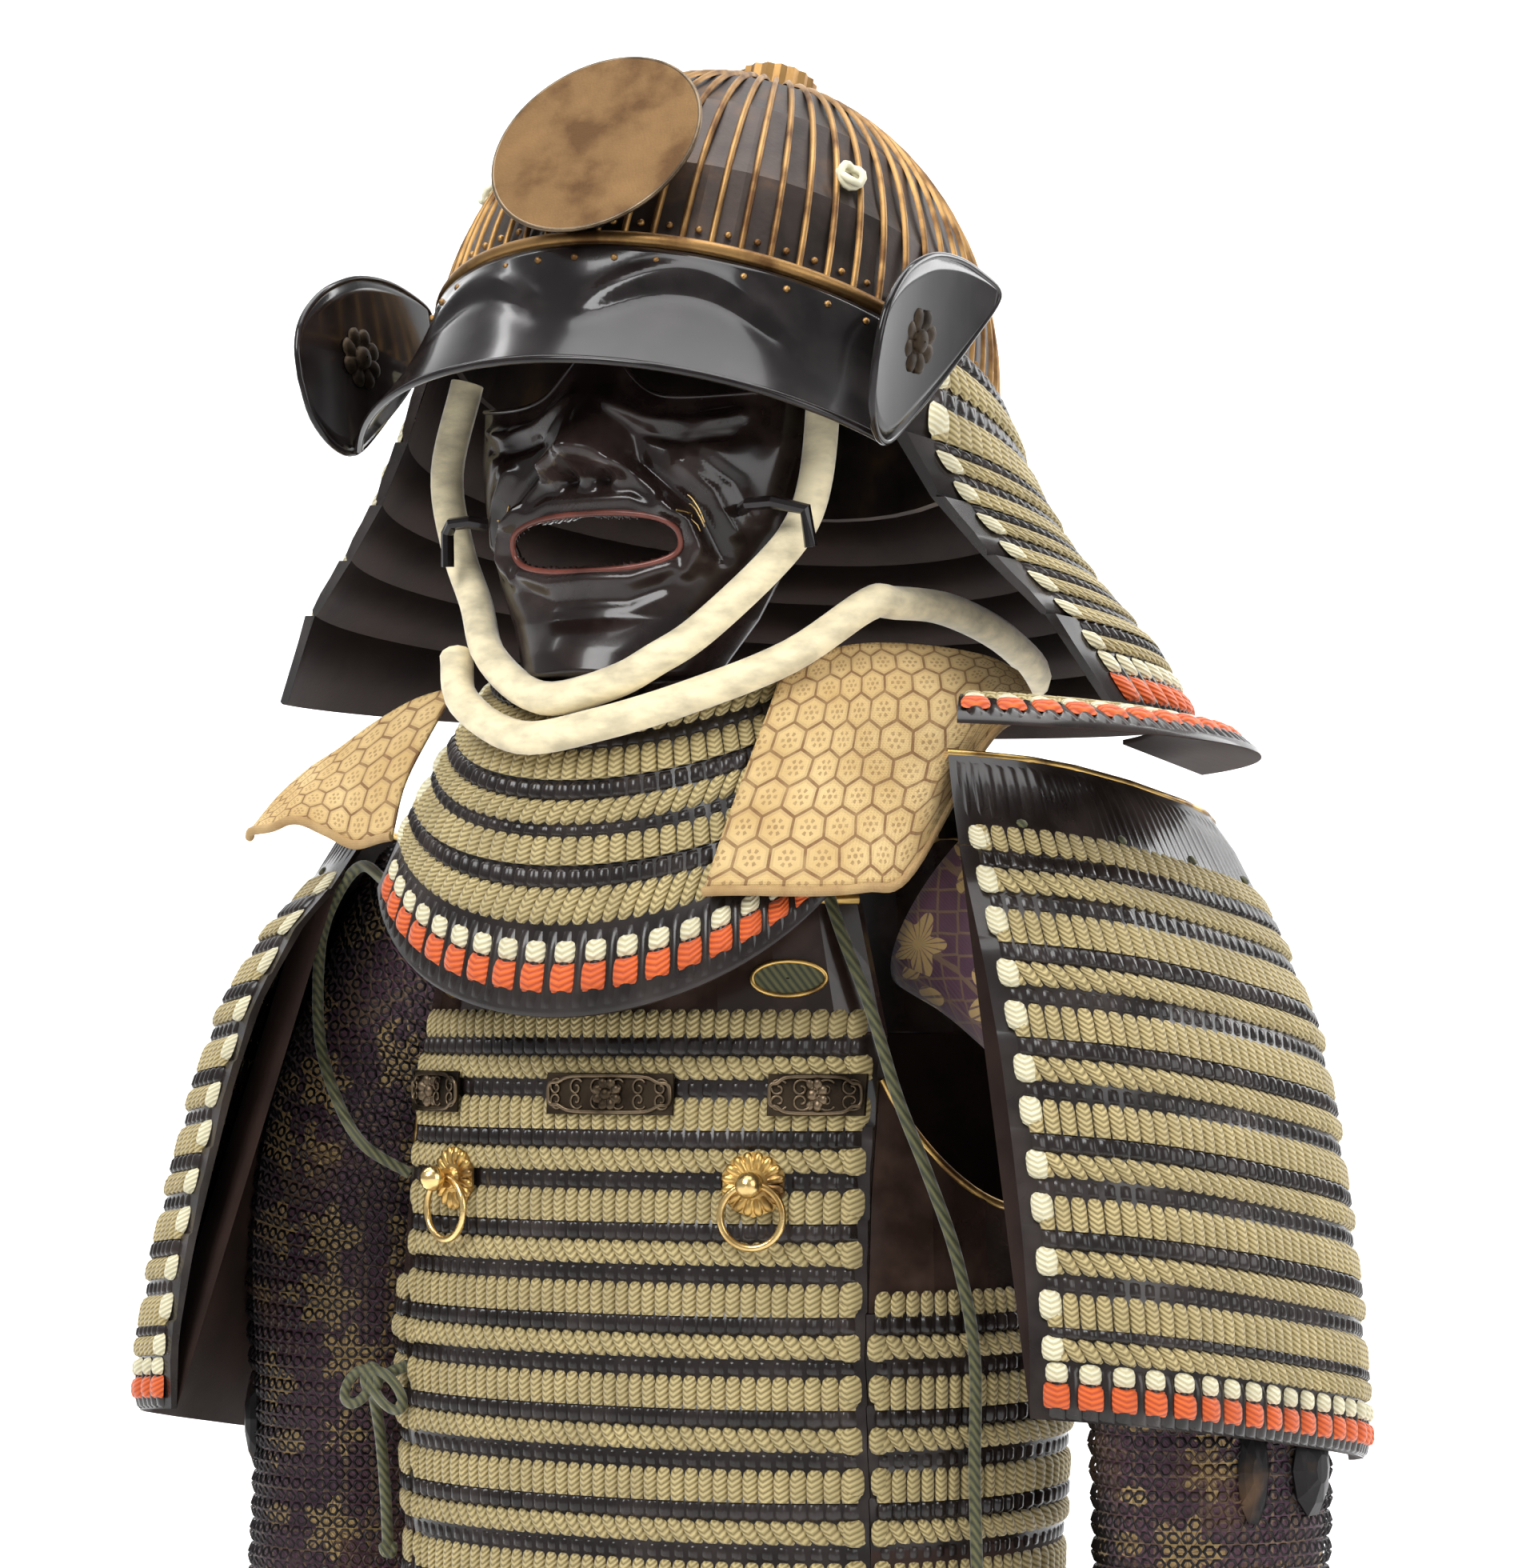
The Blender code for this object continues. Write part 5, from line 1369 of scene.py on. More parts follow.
def grid_mesh(name: str, grid: np.ndarray, finish: bpy.types.Material, closed: bool = False,
              scale: tuple[float, float] = (1.0, 1.0)) -> bpy.types.Mesh:
    """A mesh from rows and columns of points in millimetres.

    Args:
        name: The mesh's name.
        grid: Points as an array (row, column, 3).
        finish: Its material.
        closed: Whether each row's last column joins its first.
        scale: What its UVs reach at the last column and the last row.

    Returns:
        The mesh, in metres.
    """
    patches = Patches()
    u, v = np.meshgrid(*(np.linspace(0.0, reach, count) for reach, count in zip(scale, grid.shape[1::-1])))
    patches.add_grids(grid[None], coords=np.stack([u, v], axis=-1)[None], closed=closed)
    return patches.to_mesh(name, [finish])


def thicken(obj: bpy.types.Object, thickness_mm: float, offset: float = 0.0) -> None:
    """Gives a sheet its thickness."""
    shell = obj.modifiers.new("Thickness", "SOLIDIFY")
    shell.thickness = thickness_mm * MM
    shell.offset = offset


def unit(vectors: np.ndarray) -> np.ndarray:
    """Vectors along the last axis, made one long."""
    return vectors / np.linalg.norm(vectors, axis=-1, keepdims=True)


@dataclass
class Sleeves:
    """Brocade sleeves with folds, and the mail sewn over them.

    Args:
        brocade: Material of the cloth.
        mail: Material of the links.
        cut: Flat size of one sleeve's cloth, in metres; not used.
        areas: Cloth in each sleeve, in square metres; not used.
        first_lines: The row of links that each sleeve's mail starts with.
        columns: Points round a sleeve.
        link_rows: Distance between rows of links, in millimetres.
        links_round: Links in one row.
        link_rings: Radius and height of each ring of points in a link, in millimetres.
    """

    brocade: bpy.types.Material
    mail: bpy.types.Material
    cut: tuple[float, float] = (0.33, 0.62)
    areas: dict = field(default_factory=lambda: {"left": 0.161, "right": 0.160})
    first_lines: dict = field(default_factory=lambda: {"left": 24, "right": 4})
    columns: int = 84
    link_rows: float = 5.6
    links_round: int = 53
    link_rings: tuple = ((3.0, 0.0), (2.3, 0.9), (1.6, 0.0))

    def build(self) -> None:
        """Builds both sleeves, each with its mail."""
        for name, side in SIDES:
            self.cloth(name, side)
            self.links(name, side)

    def grid(self, side: int, offset: float) -> np.ndarray:
        """Rings of points down a sleeve, with smooth rings between the part's own.

        Args:
            side: 1 for the wearer's left, -1 for the right.
            offset: Distance outside the part's rings, in millimetres.

        Returns:
            Points as an array (row, column, 3).
        """
        given = 14
        rings = np.array([[tuple(p) for p in sleeve_ring(i, side, offset, given)]
                          for i in range(len(SLEEVE_RINGS))])
        spectrum = np.fft.rfft(rings, axis=1)
        padded = np.zeros((len(rings), self.columns // 2 + 1, 3), complex)
        padded[:, :given // 2 + 1] = spectrum
        padded[:, given // 2] *= 0.5
        return catmull(np.fft.irfft(padded, n=self.columns, axis=1) * (self.columns / given), 7)

    def cloth(self, name: str, side: int) -> None:
        """One sleeve's cloth, creased round the arm but flat at both ends."""
        grid = self.grid(side, -0.8)
        outward = unit(grid - grid.mean(axis=1, keepdims=True))
        turns = round_turns(self.columns)[None, :]
        runs = np.arange(len(grid))[:, None]
        fade = np.clip(np.minimum(runs, len(grid) - 1 - runs) / 6.0, 0.0, 1.0)
        crease = np.sin(5 * turns + 0.28 * runs + side) * 0.5 + np.sin(9 * turns - 0.41 * runs) * 0.3
        folded = grid + outward * (crease * fade * 0.8 - 0.4)[..., None]
        if side < 0:
            folded = folded[:, ::-1]
        mesh = grid_mesh(f"sleeve_{name}_cloth", folded, self.brocade, closed=True, scale=(0.29, 0.6))
        made = add_piece(f"sleeve_{name}_cloth", mesh, [f"sleeve_{name}"])
        thicken(made, 1.2)

    def links(self, name: str, side: int) -> None:
        """Rows of small iron links over one sleeve, each a flat ring with a raised middle."""
        grid = self.grid(side, 0.9)
        rows, columns = grid.shape[:2]
        closed = np.concatenate([grid, grid[:, :1]], axis=1)
        spans = np.linalg.norm(np.diff(closed.mean(axis=1), axis=0), axis=1)
        marks = np.concatenate([[0.0], np.cumsum(spans)])
        places = []
        for line in range(self.first_lines[name], int(float(spans.sum()) / self.link_rows) - 1):
            run = np.interp(line * self.link_rows, marks, np.arange(rows))
            for step in range(self.links_round):
                across = ((step + 0.5 * (line % 2)) / self.links_round * columns) % columns
                places.append((run, across, line % 2))
        places = np.array(places)
        i = np.minimum(places[:, 0].astype(int), rows - 2)
        j = np.minimum(places[:, 1].astype(int), columns - 1)
        u, v = (places[:, 0] - i)[:, None], (places[:, 1] - j)[:, None]
        corner = closed[i, j] * (1 - u) * (1 - v) + closed[i + 1, j] * u * (1 - v)
        corner += closed[i, j + 1] * (1 - u) * v + closed[i + 1, j + 1] * u * v
        across = unit(closed[i, j + 1] - closed[i, j])
        down = unit(closed[i + 1, j] - closed[i, j])
        normal = np.cross(across, down)
        normal *= np.sign((normal * (corner - closed[i].mean(axis=1))).sum(axis=1, keepdims=True))
        lean = unit(down + normal * np.where(places[:, 2] > 0, 0.35, -0.35)[:, None])
        turns = np.linspace(0.0, math.tau, 7)[None, :, None]
        reach = across[:, None, :] * np.cos(turns) + lean[:, None, :] * np.sin(turns)
        rings = [corner[:, None, :] + reach * radius + normal[:, None, :] * (rise + 0.4)
                 for radius, rise in self.link_rings]
        links = np.stack(rings, axis=1)
        grid_piece(f"mail_{name}", links[:, ::-1] if side > 0 else links, self.mail)


@dataclass(frozen=True)
class CollarPlan:
    """One printed cloth facing.

    Args:
        name: The wearer's side.
        columns: The part's points, each column from the top down, in millimetres.
        flipped: Whether its columns have to be turned round to face outwards.
        span: What its UVs reach, in metres.
        cut: Its flat size, in metres; not used.
        area: Cloth in it, in square metres; not used.
    """

    name: str
    columns: tuple
    flipped: bool
    span: tuple
    cut: tuple
    area: float


COLLARS = (
    CollarPlan("left", COLLAR_LEFT, True, (0.105, 0.150), (0.17, 0.12), 0.0129),
    CollarPlan("right", COLLAR_RIGHT, False, (0.066, 0.115), (0.12, 0.08), 0.0039),
)


def build_collars(printed: bpy.types.Material) -> None:
    """The printed cloth facings with their folded hems."""
    for plan in COLLARS:
        fine = catmull(np.array(plan.columns, float), 8)
        fine = np.swapaxes(catmull(np.swapaxes(fine, 0, 1), 8), 0, 1)
        fading = np.linspace(0.0, 1.0, fine.shape[1])[None, :]
        waves = np.sin(np.arange(fine.shape[0])[:, None] * 0.5) * fading
        fine = fine + waves[..., None] * np.array([0.0, -0.5, 0.3])
        piece = f"collar_{plan.name}"
        mesh = grid_mesh(piece, fine[::-1] if plan.flipped else fine, printed, scale=plan.span)
        made = add_piece(piece, mesh, [f"collar_cloth_{plan.name}"])
        thicken(made, 1.6)
        line = [Vector(p) + Vector((0.0, -0.8, -0.6)) for p in fine[:, -1]]
        hem = rod(piece + "_hem", line, 4.0, printed, resolution=4)


def turned(points: Sequence[Vector], move: Matrix) -> list[Vector]:
    """Points in millimetres moved by a turn that is in metres."""
    return [move @ (Vector(p) * MM) / MM for p in points]


def turnback_place(side: int, y: float, z: float, depth: float = PLATE / 2) -> Vector:
    """A point in or on an ear, whose plate leans outwards and curls forward."""
    return Vector((side * (121.4 + (z - 140.0) * 0.16 + depth + 0.0012 * (y + 60.0) ** 2), y, z))


def disc_rows(centre: Vector, axes: tuple[Vector, Vector, Vector], rings: Sequence[tuple[float, float]],
              turns: np.ndarray) -> list:
    """Rings of points round a centre, each with its own radius and rise.

    Args:
        centre: The middle, in millimetres.
        axes: Two directions across it and the one it faces.
        rings: Radius and rise of each ring.
        turns: The angles of the points.

    Returns:
        Rows of points.
    """
    first, second, out = axes
    rows = []
    for radius, rise in rings:
        spokes = [(first * math.cos(t) + second * math.sin(t)) * radius for t in turns]
        rows.append([tuple(centre + spoke + out * rise) for spoke in spokes])
    return rows


PETAL_RINGS = (                # share of the radius, share of the height
    (1.0, 0.0), (1.0, 0.45), (0.86, 0.85), (0.62, 0.9), (0.42, 0.45), (0.36, 0.5), (0.34, 1.1), (0.2, 1.5),
    (0.03, 1.62),
)


def petalled_disc(centre: Vector, out: Vector, radius: float, height: float, petals: int) -> np.ndarray:
    """A generic flower of rounded petals round a domed middle.

    Args:
        centre: The middle of its back, in millimetres.
        out: The way it faces.
        radius: Reach of its petals.
        height: Height of its petals.
        petals: How many it has.

    Returns:
        Points as an array (grid, row, column, 3).
    """
    side = Vector((0.0, 0.0, 1.0)).cross(out).normalized()
    up = out.cross(side).normalized()
    rows = []
    for reach, rise in PETAL_RINGS:
        row = []
        for turn in np.linspace(0.0, math.tau, petals * 8 + 1):
            lobe = abs(math.sin(petals * turn / 2)) ** 0.6
            inner = reach < 0.4
            size = radius * reach * (1.0 if inner else 0.80 + 0.20 * lobe)
            lift = height * rise * (1.0 if inner else 0.45 + 0.55 * lobe)
            row.append(tuple(centre + (side * math.cos(turn) + up * math.sin(turn)) * size + out * lift))
        rows.append(row)
    return np.array(rows)[None, ::-1]


@dataclass
class HelmetTrim:
    """Everything that shows on the helmet beyond its plates.

    Args:
        move: The helmet's turn on the head, in metres.
        finishes: Materials by name.
        plates: Plates round the bowl.
        rivet: Radius and rise of each ring of a rivet's head, in millimetres.
    """

    move: Matrix
    finishes: dict
    plates: int = 62
    rivet: tuple = ((1.6, -0.1), (1.4, 0.7), (0.8, 1.2), (0.02, 1.35))

    def build(self) -> None:
        """Builds all of it."""
        self.ridges()
        self.rivets()
        self.visor()
        self.turnbacks()
        self.bands()
        self.crest()
        self.tufts()

    def ridges(self) -> None:
        """Golden-brown flanges between the bowl's plates, one mesh of thin half tubes."""
        seat = BOWL_RIDGE / 2 + 0.1
        angles = np.linspace(0.0, math.pi, 5)
        grids = []
        for i in range(self.plates):
            turn = math.tau * i / self.plates
            rows = []
            for rise in np.radians(np.linspace(1.5, 81.5, 22)):
                crown = np.array(bowl_point(turn, rise, seat))
                out = unit(np.array(bowl_point(turn, rise, seat + 1.0)) - crown)
                side = unit(np.array(bowl_point(turn + 0.01, rise, seat)) - crown)
                width = 1.0 + 0.45 * math.cos(rise)
                rows.append([crown + side * (-math.cos(a) * width) + out * (math.sin(a) * 1.9 - 0.2)
                             for a in angles])
            grids.append(rows)
        grid_piece("helmet_ridges", np.array(grids)[:, ::-1], self.finishes["ridge"],
                   move=self.move)

    def rivets(self) -> None:
        """Round rivet heads along the foot of each plate and of the visor."""
        foot = math.radians(6.0)
        spots = []
        for i in range(self.plates):
            turn = math.tau * (i + 0.5) / self.plates
            spots.append((bowl_point(turn, foot, 0.5), bowl_point(turn, foot, 1.5)))
        for share in np.linspace(-0.94, 0.94, 15):
            spots.append((visor_point(share, 0.10, PLATE), visor_point(share, 0.10, PLATE + 1.0)))
        grids = []
        for ground, lifted in spots:
            normal = (lifted - ground).normalized()
            first = normal.orthogonal().normalized()
            grids.append(disc_rows(ground, (first, normal.cross(first), normal), self.rivet,
                                   np.linspace(0.0, math.tau, 9)))
        grid_piece("helmet_rivets", np.array(grids)[:, ::-1], self.finishes["ridge"],
                   move=self.move)

    def visor(self) -> None:
        """The brow plate, with two embossed brows that curl at their outer ends."""
        rows = []
        for fall in np.linspace(0.0, 1.0, 25):
            row = []
            for share in np.linspace(-1.0, 1.0, 97):
                side = abs(share)
                arch = 0.46 - 0.30 * math.sin(math.pi * min(1.0, max(0.0, (side - 0.08) / 0.62)))
                within = 1 / (1 + math.exp((side - 0.66) / 0.03)) / (1 + math.exp((0.09 - side) / 0.02))
                brow = 2.4 * math.exp(-((fall - arch) / 0.10) ** 2) * within
                brow -= 1.2 * math.exp(-((fall - arch - 0.17) / 0.07) ** 2) * within
                row.append(tuple(visor_point(share, fall, PLATE + brow)))
            rows.append(row)
        made = grid_piece("visor_plate", np.array(rows), self.finishes["lacquer"], ["visor"],
                          self.move)
        thicken(made, 2.2, -1.0)

    def turnbacks(self) -> None:
        """The two ears, each one curved plate."""
        table = catmull(np.array(TURNBACK_EDGES), 6)
        for name, side in SIDES:
            grid = np.array([[tuple(turnback_place(side, y, z)) for z in np.linspace(low, high, 11)]
                             for y, low, high in table])
            if side < 0:
                grid = grid[::-1]
            made = grid_piece(f"turnback_{name}_plate", grid, self.finishes["lacquer"],
                              [f"turnback_{name}"], self.move)
            thicken(made, PLATE)

    def bands(self) -> None:
        """The gilt band round the rim, the visor's lip, the ears' edges and medallions."""
        rim = turned([bowl_point(math.tau * i / 96, 0.045, 1.4) for i in range(96)], self.move)
        rod("rim_band", rim, 6.0, self.finishes["ridge"], closed=True)
        lip = turned([visor_point(s, 1.0, PLATE / 2) for s in np.linspace(-1.0, 1.0, 49)], self.move)
        rod("visor_lip", lip, 3.4, self.finishes["lacquer"])
        for name, side in SIDES:
            loop = [turnback_place(side, y, low) for y, low, _ in TURNBACK_EDGES]
            loop += [turnback_place(side, y, high) for y, _, high in TURNBACK_EDGES[::-1]]
            smooth = smooth_route(loop + [loop[0]], 4)[:-1]
            edge = turned(smooth, self.move)
            rod(f"turnback_{name}_edge", edge, 3.2, self.finishes["lacquer"], closed=True)
            centre = turnback_place(side, -84.0, 182.0, PLATE if side > 0 else -0.1)
            flower = petalled_disc(centre, Vector((0.985, -0.05, -0.16 * side)).normalized(), 13.5, 2.2, 8)
            grid_piece(f"turnback_{name}_rosette", flower, self.finishes["dark_bronze"],
                       move=self.move)

    def crest(self) -> None:
        """The rim of the crest's disc."""
        centre, tilt = Vector((0.0, -116.0, 261.0)), math.radians(32.0)
        up = Vector((0.0, math.sin(tilt), math.cos(tilt)))
        back = Vector((0.0, math.cos(tilt), -math.sin(tilt))) * 0.8
        reach = CREST_RADIUS - 0.6
        points = [centre + Vector((reach, 0.0, 0.0)) * math.cos(t) + up * (reach * math.sin(t)) - back
                  for t in round_turns(96)]
        rod("crest_rim", turned(points, self.move), 2.0, self.finishes["bronze"], closed=True)

    def tufts(self) -> None:
        """Cream knots of cord that stand out of the bowl's plates, two at each side."""
        rng = random.Random(4)
        rise = math.radians(26.0)
        for index, azimuth in enumerate((-38.0, -142.0, 42.0, 138.0)):
            turn = math.radians(azimuth)
            ground = bowl_point(turn, rise, 1.0)
            out = (bowl_point(turn, rise, 2.0) - ground).normalized()
            side = out.orthogonal().normalized()
            over = out.cross(side)
            points = []
            for t in np.linspace(0.0, math.tau * 3, 40):
                sideways = 5.0 * math.cos(t) + rng.uniform(-0.5, 0.5)
                points.append(ground + out * (2.4 + 2.0 * math.sin(t * 1.5)) + side * sideways
                              + over * (5.0 * math.sin(t)))
            knot = turned(points, self.move)
            rod(f"helmet_tuft_{index + 1}", knot, 3.2, self.finishes["cream"])


RIDGE_LINES = (                # how far out, width, then points sideways and up
    (2.6, 3.4, ((17.0, 132.0), (28.0, 122.0), (42.0, 108.0), (47.0, 92.0))),
    (-1.6, 2.6, ((24.0, 132.0), (34.0, 124.0), (48.0, 112.0), (54.0, 94.0))),
    (1.8, 2.8, ((40.0, 132.0), (52.0, 120.0), (58.0, 104.0))),
    (-1.0, 2.2, ((46.0, 138.0), (60.0, 124.0), (65.0, 108.0))),
    (2.4, 3.2, ((10.0, 160.0), (24.0, 150.0), (44.0, 147.0), (60.0, 152.0))),
    (-1.4, 1.6, ((26.0, 144.0), (42.0, 140.0), (58.0, 143.0))),
    (2.6, 2.6, ((34.0, 116.0), (43.0, 108.0), (46.0, 98.0), (41.0, 88.0))),
    (1.6, 2.4, ((0.0, 118.0), (20.0, 118.0), (38.0, 110.0))),
    (2.0, 2.8, ((0.0, 86.0), (20.0, 85.5), (36.0, 90.0))),
    (-1.4, 3.0, ((0.0, 77.0), (18.0, 77.0), (32.0, 82.0))),
    (1.0, 2.0, ((12.0, 156.0), (30.0, 150.0), (52.0, 150.0))),
)
SWELLS = (                     # how far out, sideways, up, half width, half height
    (5.4, 0.0, 136.0, 8.5, 9.0), (6.0, 14.5, 132.0, 6.0, 6.5), (-7.0, 8.0, 127.0, 3.6, 2.8),
    (-2.4, 23.0, 136.0, 3.0, 8.0), (2.2, 46.0, 136.0, 9.0, 7.0), (1.6, 0.0, 64.0, 22.0, 9.0),
)


@dataclass
class Mask:
    """The half mask: a generic shell with cheek folds, a moustache line and an open mouth.

    Args:
        finishes: Materials by name.
        columns: Points across the shell.
        rows: Points up the shell.
        relief: How strongly its folds and swells stand out.
        squareness: The power that shapes the mouth's outline.
    """

    finishes: dict
    columns: int = 131
    rows: int = 91
    relief: float = 1.35
    squareness: float = 2.6

    def __post_init__(self) -> None:
        sides, rises = np.linspace(-1.0, 1.0, self.columns), np.linspace(0.0, 1.0, self.rows)
        self.grid = np.array([[tuple(mask_point(s, r)) for s in sides] for r in rises])
        self.x, self.z = self.grid[..., 0].copy(), self.grid[..., 2].copy()

    def build(self) -> None:
        """Builds the shell, its rims, its lips and its whiskers."""
        reach = self._mouth_reach()
        self._shape()
        self._shell(reach)
        self._edges()

    def _fold(self, points: Sequence[tuple[float, float]], width: float) -> np.ndarray:
        """Height from 0 to 1 of a fold along a line, the same on both halves of the face."""
        ax = np.abs(self.x)
        best = np.full(ax.shape, 1e9)
        for (x0, z0), (x1, z1) in zip(points, points[1:]):
            dx, dz = x1 - x0, z1 - z0
            t = np.clip(((ax - x0) * dx + (self.z - z0) * dz) / (dx * dx + dz * dz), 0.0, 1.0)
            best = np.minimum(best, np.hypot(ax - x0 - t * dx, self.z - z0 - t * dz))
        return np.exp(-(best / width) ** 2)

    def _mouth_reach(self) -> np.ndarray:
        """How far each point lies from the mouth's middle: up to 1 inside its outline."""
        across = np.abs(self.x / MOUTH_HALF_WIDTH) ** self.squareness
        return across + np.abs((self.z - MOUTH_LEVEL) / MOUTH_HALF_HEIGHT) ** self.squareness

    def _shape(self) -> None:
        """Pushes the plain shell out into its folds and swells."""
        ax = np.abs(self.x)
        out = sum(high * self._fold(points, width) for high, width, points in RIDGE_LINES)
        for high, cx, cz, wx, wz in SWELLS:
            out += high * np.exp(-((ax - cx) / wx) ** 2 - ((self.z - cz) / wz) ** 2)
        out *= self.relief
        turn = np.arctan2(self.x, np.maximum(1.0, -self.grid[..., 1] - 40.0))
        self.grid[..., 1] -= out * np.cos(turn)
        self.grid[..., 0] += out * np.sin(turn) * 0.8

    def _shell(self, reach: np.ndarray) -> None:
        """Makes the shell, without the quads inside the mouth."""
        index = np.arange(self.rows * self.columns).reshape(self.rows, self.columns)
        corners = [index[:-1, :-1], index[:-1, 1:], index[1:, 1:], index[1:, :-1]]
        quads = np.stack(corners, axis=-1).reshape(-1, 4)
        keep = (reach.ravel()[quads] > 1.0).any(axis=1)
        patches = Patches()
        patches.points.append(self.grid.reshape(-1, 3))
        patches.coords.append(np.zeros((self.rows * self.columns, 2)))
        patches.faces.append(quads[keep])
        patches.kinds.append(np.zeros(int(keep.sum()), int))
        mesh = patches.to_mesh("mask_shell", [self.finishes["mask"]])
        thicken(add_piece("mask_shell", mesh, ["mask"]), 2.2, -1.0)

    def _on(self, px: float, pz: float, lift: float) -> Vector:
        """The point of the shell in front of a place, lifted forwards."""
        front = (np.abs(self.grid[..., 0] - px) + np.abs(self.z - pz)).argmin()
        return Vector((px, self.grid.reshape(-1, 3)[front][1] - lift, pz))

    def _edges(self) -> None:
        """The lips, the rims at top and foot, and three fine gilt whiskers on each cheek."""
        loop = []
        for t in round_turns(64):
            px, pz = (reach * math.copysign(abs(part) ** 0.77, part) for reach, part in (
                (MOUTH_HALF_WIDTH + 0.8, math.cos(t)), (MOUTH_HALF_HEIGHT + 0.8, math.sin(t))))
            loop.append(self._on(px, MOUTH_LEVEL + pz, -0.2))
        smooth = [sum((loop[(i + k) % 64] for k in (-2, -1, 0, 1, 2)), Vector()) / 5 for i in range(64)]
        lacquer = self.finishes["mask"]
        rod("mask_lips", smooth, 2.6, self.finishes["lips"], closed=True)
        rod("mask_top_rim", [Vector(p) for p in self.grid[-1]], 2.2, lacquer)
        rod("mask_foot_rim", [Vector(p) for p in self.grid[0]], 3.0, lacquer)
        for name, side in SIDES:
            for i in range(3):
                line = [self._on(side * (43.0 + 5.0 * t), 112.0 + 3.5 * i - 8.0 * t * t - 1.5 * i * t, 0.2)
                        for t in np.linspace(0.0, 1.0, 7)]
                rod(f"mask_hair_{name}_{i + 1}", line, 0.8, self.finishes["gold"], resolution=1)


@dataclass
class PlateTrim:
    """Rims, windows, ribbed top plates, fittings and rosettes on the plain plates and the lacing.

    Args:
        finishes: Materials by name.
        knob: Radius and depth of each ring of a rosette's knob, in millimetres.
    """

    finishes: dict
    knob: tuple = ((2.0, 8.6), (3.4, 8.6), (4.9, 9.8), (5.5, 11.6), (5.4, 13.0), (4.7, 14.9), (3.3, 16.5),
                   (1.7, 17.5), (0.05, 17.8))

    def build(self) -> None:
        """Builds all of it."""
        self.rims()
        self.windows()
        self.guard_plates()
        self.fittings()
        self.rosettes()

    def rims(self) -> None:
        """Gilt and lacquered rims along the plain plates."""
        def level_line(half: float, facing: int, level: float, offset: float) -> list[Vector]:
            xs = [half * math.sin((2 * s - 1) * 1.2) / math.sin(1.2) for s in np.linspace(0.0, 1.0, 41)]
            return [Vector((x, TORSO_Y + facing * torso_depth(level, x, offset), level)) for x in xs]

        gilt = self.finishes["gilt"]
        rod("breast_rim", level_line(PANEL_HALF_WIDTH - 11.0, -1, BREAST_TOP, 0.4), 4.2, gilt)
        rod("back_rim", level_line(PANEL_HALF_WIDTH - 11.0, 1, BACK_TOP, 0.4), 4.2, gilt)
        for name, facing in (("breast_foot", -1), ("back_foot", 1)):
            line = level_line(PANEL_HALF_WIDTH, facing, FRONT_TOP, 0.1)
            rod(name, line, 3.2, self.finishes["brown_lacquer"])
        for name, side in SIDES:
            top = [guard_point(14.0, r, -5.2, side) for r in np.linspace(0.0, GUARD_REACH, 60)]
            rod(f"guard_{name}_top_rim", top, 3.6, gilt)
            arm = []
            for share in np.linspace(0.0, 1.0, 31):
                rim = mix(-172.0, -118.0, abs(2 * share - 1) ** 2)
                point = torso_side(rim, share, 0.2, PANEL_HALF_WIDTH + GAP)
                arm.append(Vector((side * point.x, point.y, point.z)))
            rod(f"side_guard_{name}_rim", arm, 3.6, gilt)

    def windows(self) -> None:
        """Two oval windows in the breast plate, backed with olive braid and rimmed in gilt."""
        for name, side in SIDES:
            rows = []
            for reach in (1.0, 0.7, 0.4, 0.05):
                row = []
                for t in np.linspace(0.0, math.tau, 41):
                    x, z = side * 80.0 + 13.0 * reach * math.cos(t), -77.0 + 7.0 * reach * math.sin(t)
                    row.append((x, TORSO_Y - torso_depth(z, x, 1.7), z))
                rows.append(row)
            patches = Patches()
            grid = np.array(rows)[None]
            patches.add_grids(grid, coords=np.stack([grid[..., 0] / 6.0, grid[..., 2] / BRAID_UNIT], axis=-1))
            mesh = patches.to_mesh(f"window_{name}", [self.finishes["olive_braid"]])
            add_piece(f"window_{name}", mesh)
            rod(f"window_{name}_rim", [Vector(p) for p in rows[0][:-1]], 2.0, self.finishes["gilt"],
                closed=True)

    def guard_plates(self) -> None:
        """The top plates of the shoulder guards, with fine upright ribs under a smooth lip."""
        for name, side in SIDES:
            def place(share: float, fall: float, offset: float, side: int = side) -> Vector:
                level = mix(14.0, GUARD_TOP + GAP, fall)
                lean = along(((14.0, -4.0), (-4.0, 0.0), (-24.0, 1.25)), level)[0]
                return guard_point(level, share * GUARD_REACH, offset + lean, side)

            lacer = Lacer(Wall(place, 49, 17), 5.2)
            lacer.base(((0.0, 0.0), (0.45, 0.1), (1.0, 0.2)), inner=-2.3)
            lacer.ribs(0.04, 0.98, -0.1, 1.2)
            lacer.knots(0.72, 0.8, 2.4, 1.8, Finish.OLIVE, lacer.centres[4::9])
            node = f"guard_top_plate_{name}"
            mesh = lacer.patches.to_mesh(node + "_ribbed", self.finishes["lacing_list"])
            add_piece(node + "_ribbed", mesh, [node])

    def fittings(self) -> None:
        """The pierced fittings of the chest: scrolls and a medallion over a dark ground."""
        def on(x: float, rise: float, offset: float) -> Vector:
            return Vector((x, TORSO_Y - torso_depth(FITTING_LEVEL, x, offset), FITTING_LEVEL + rise))

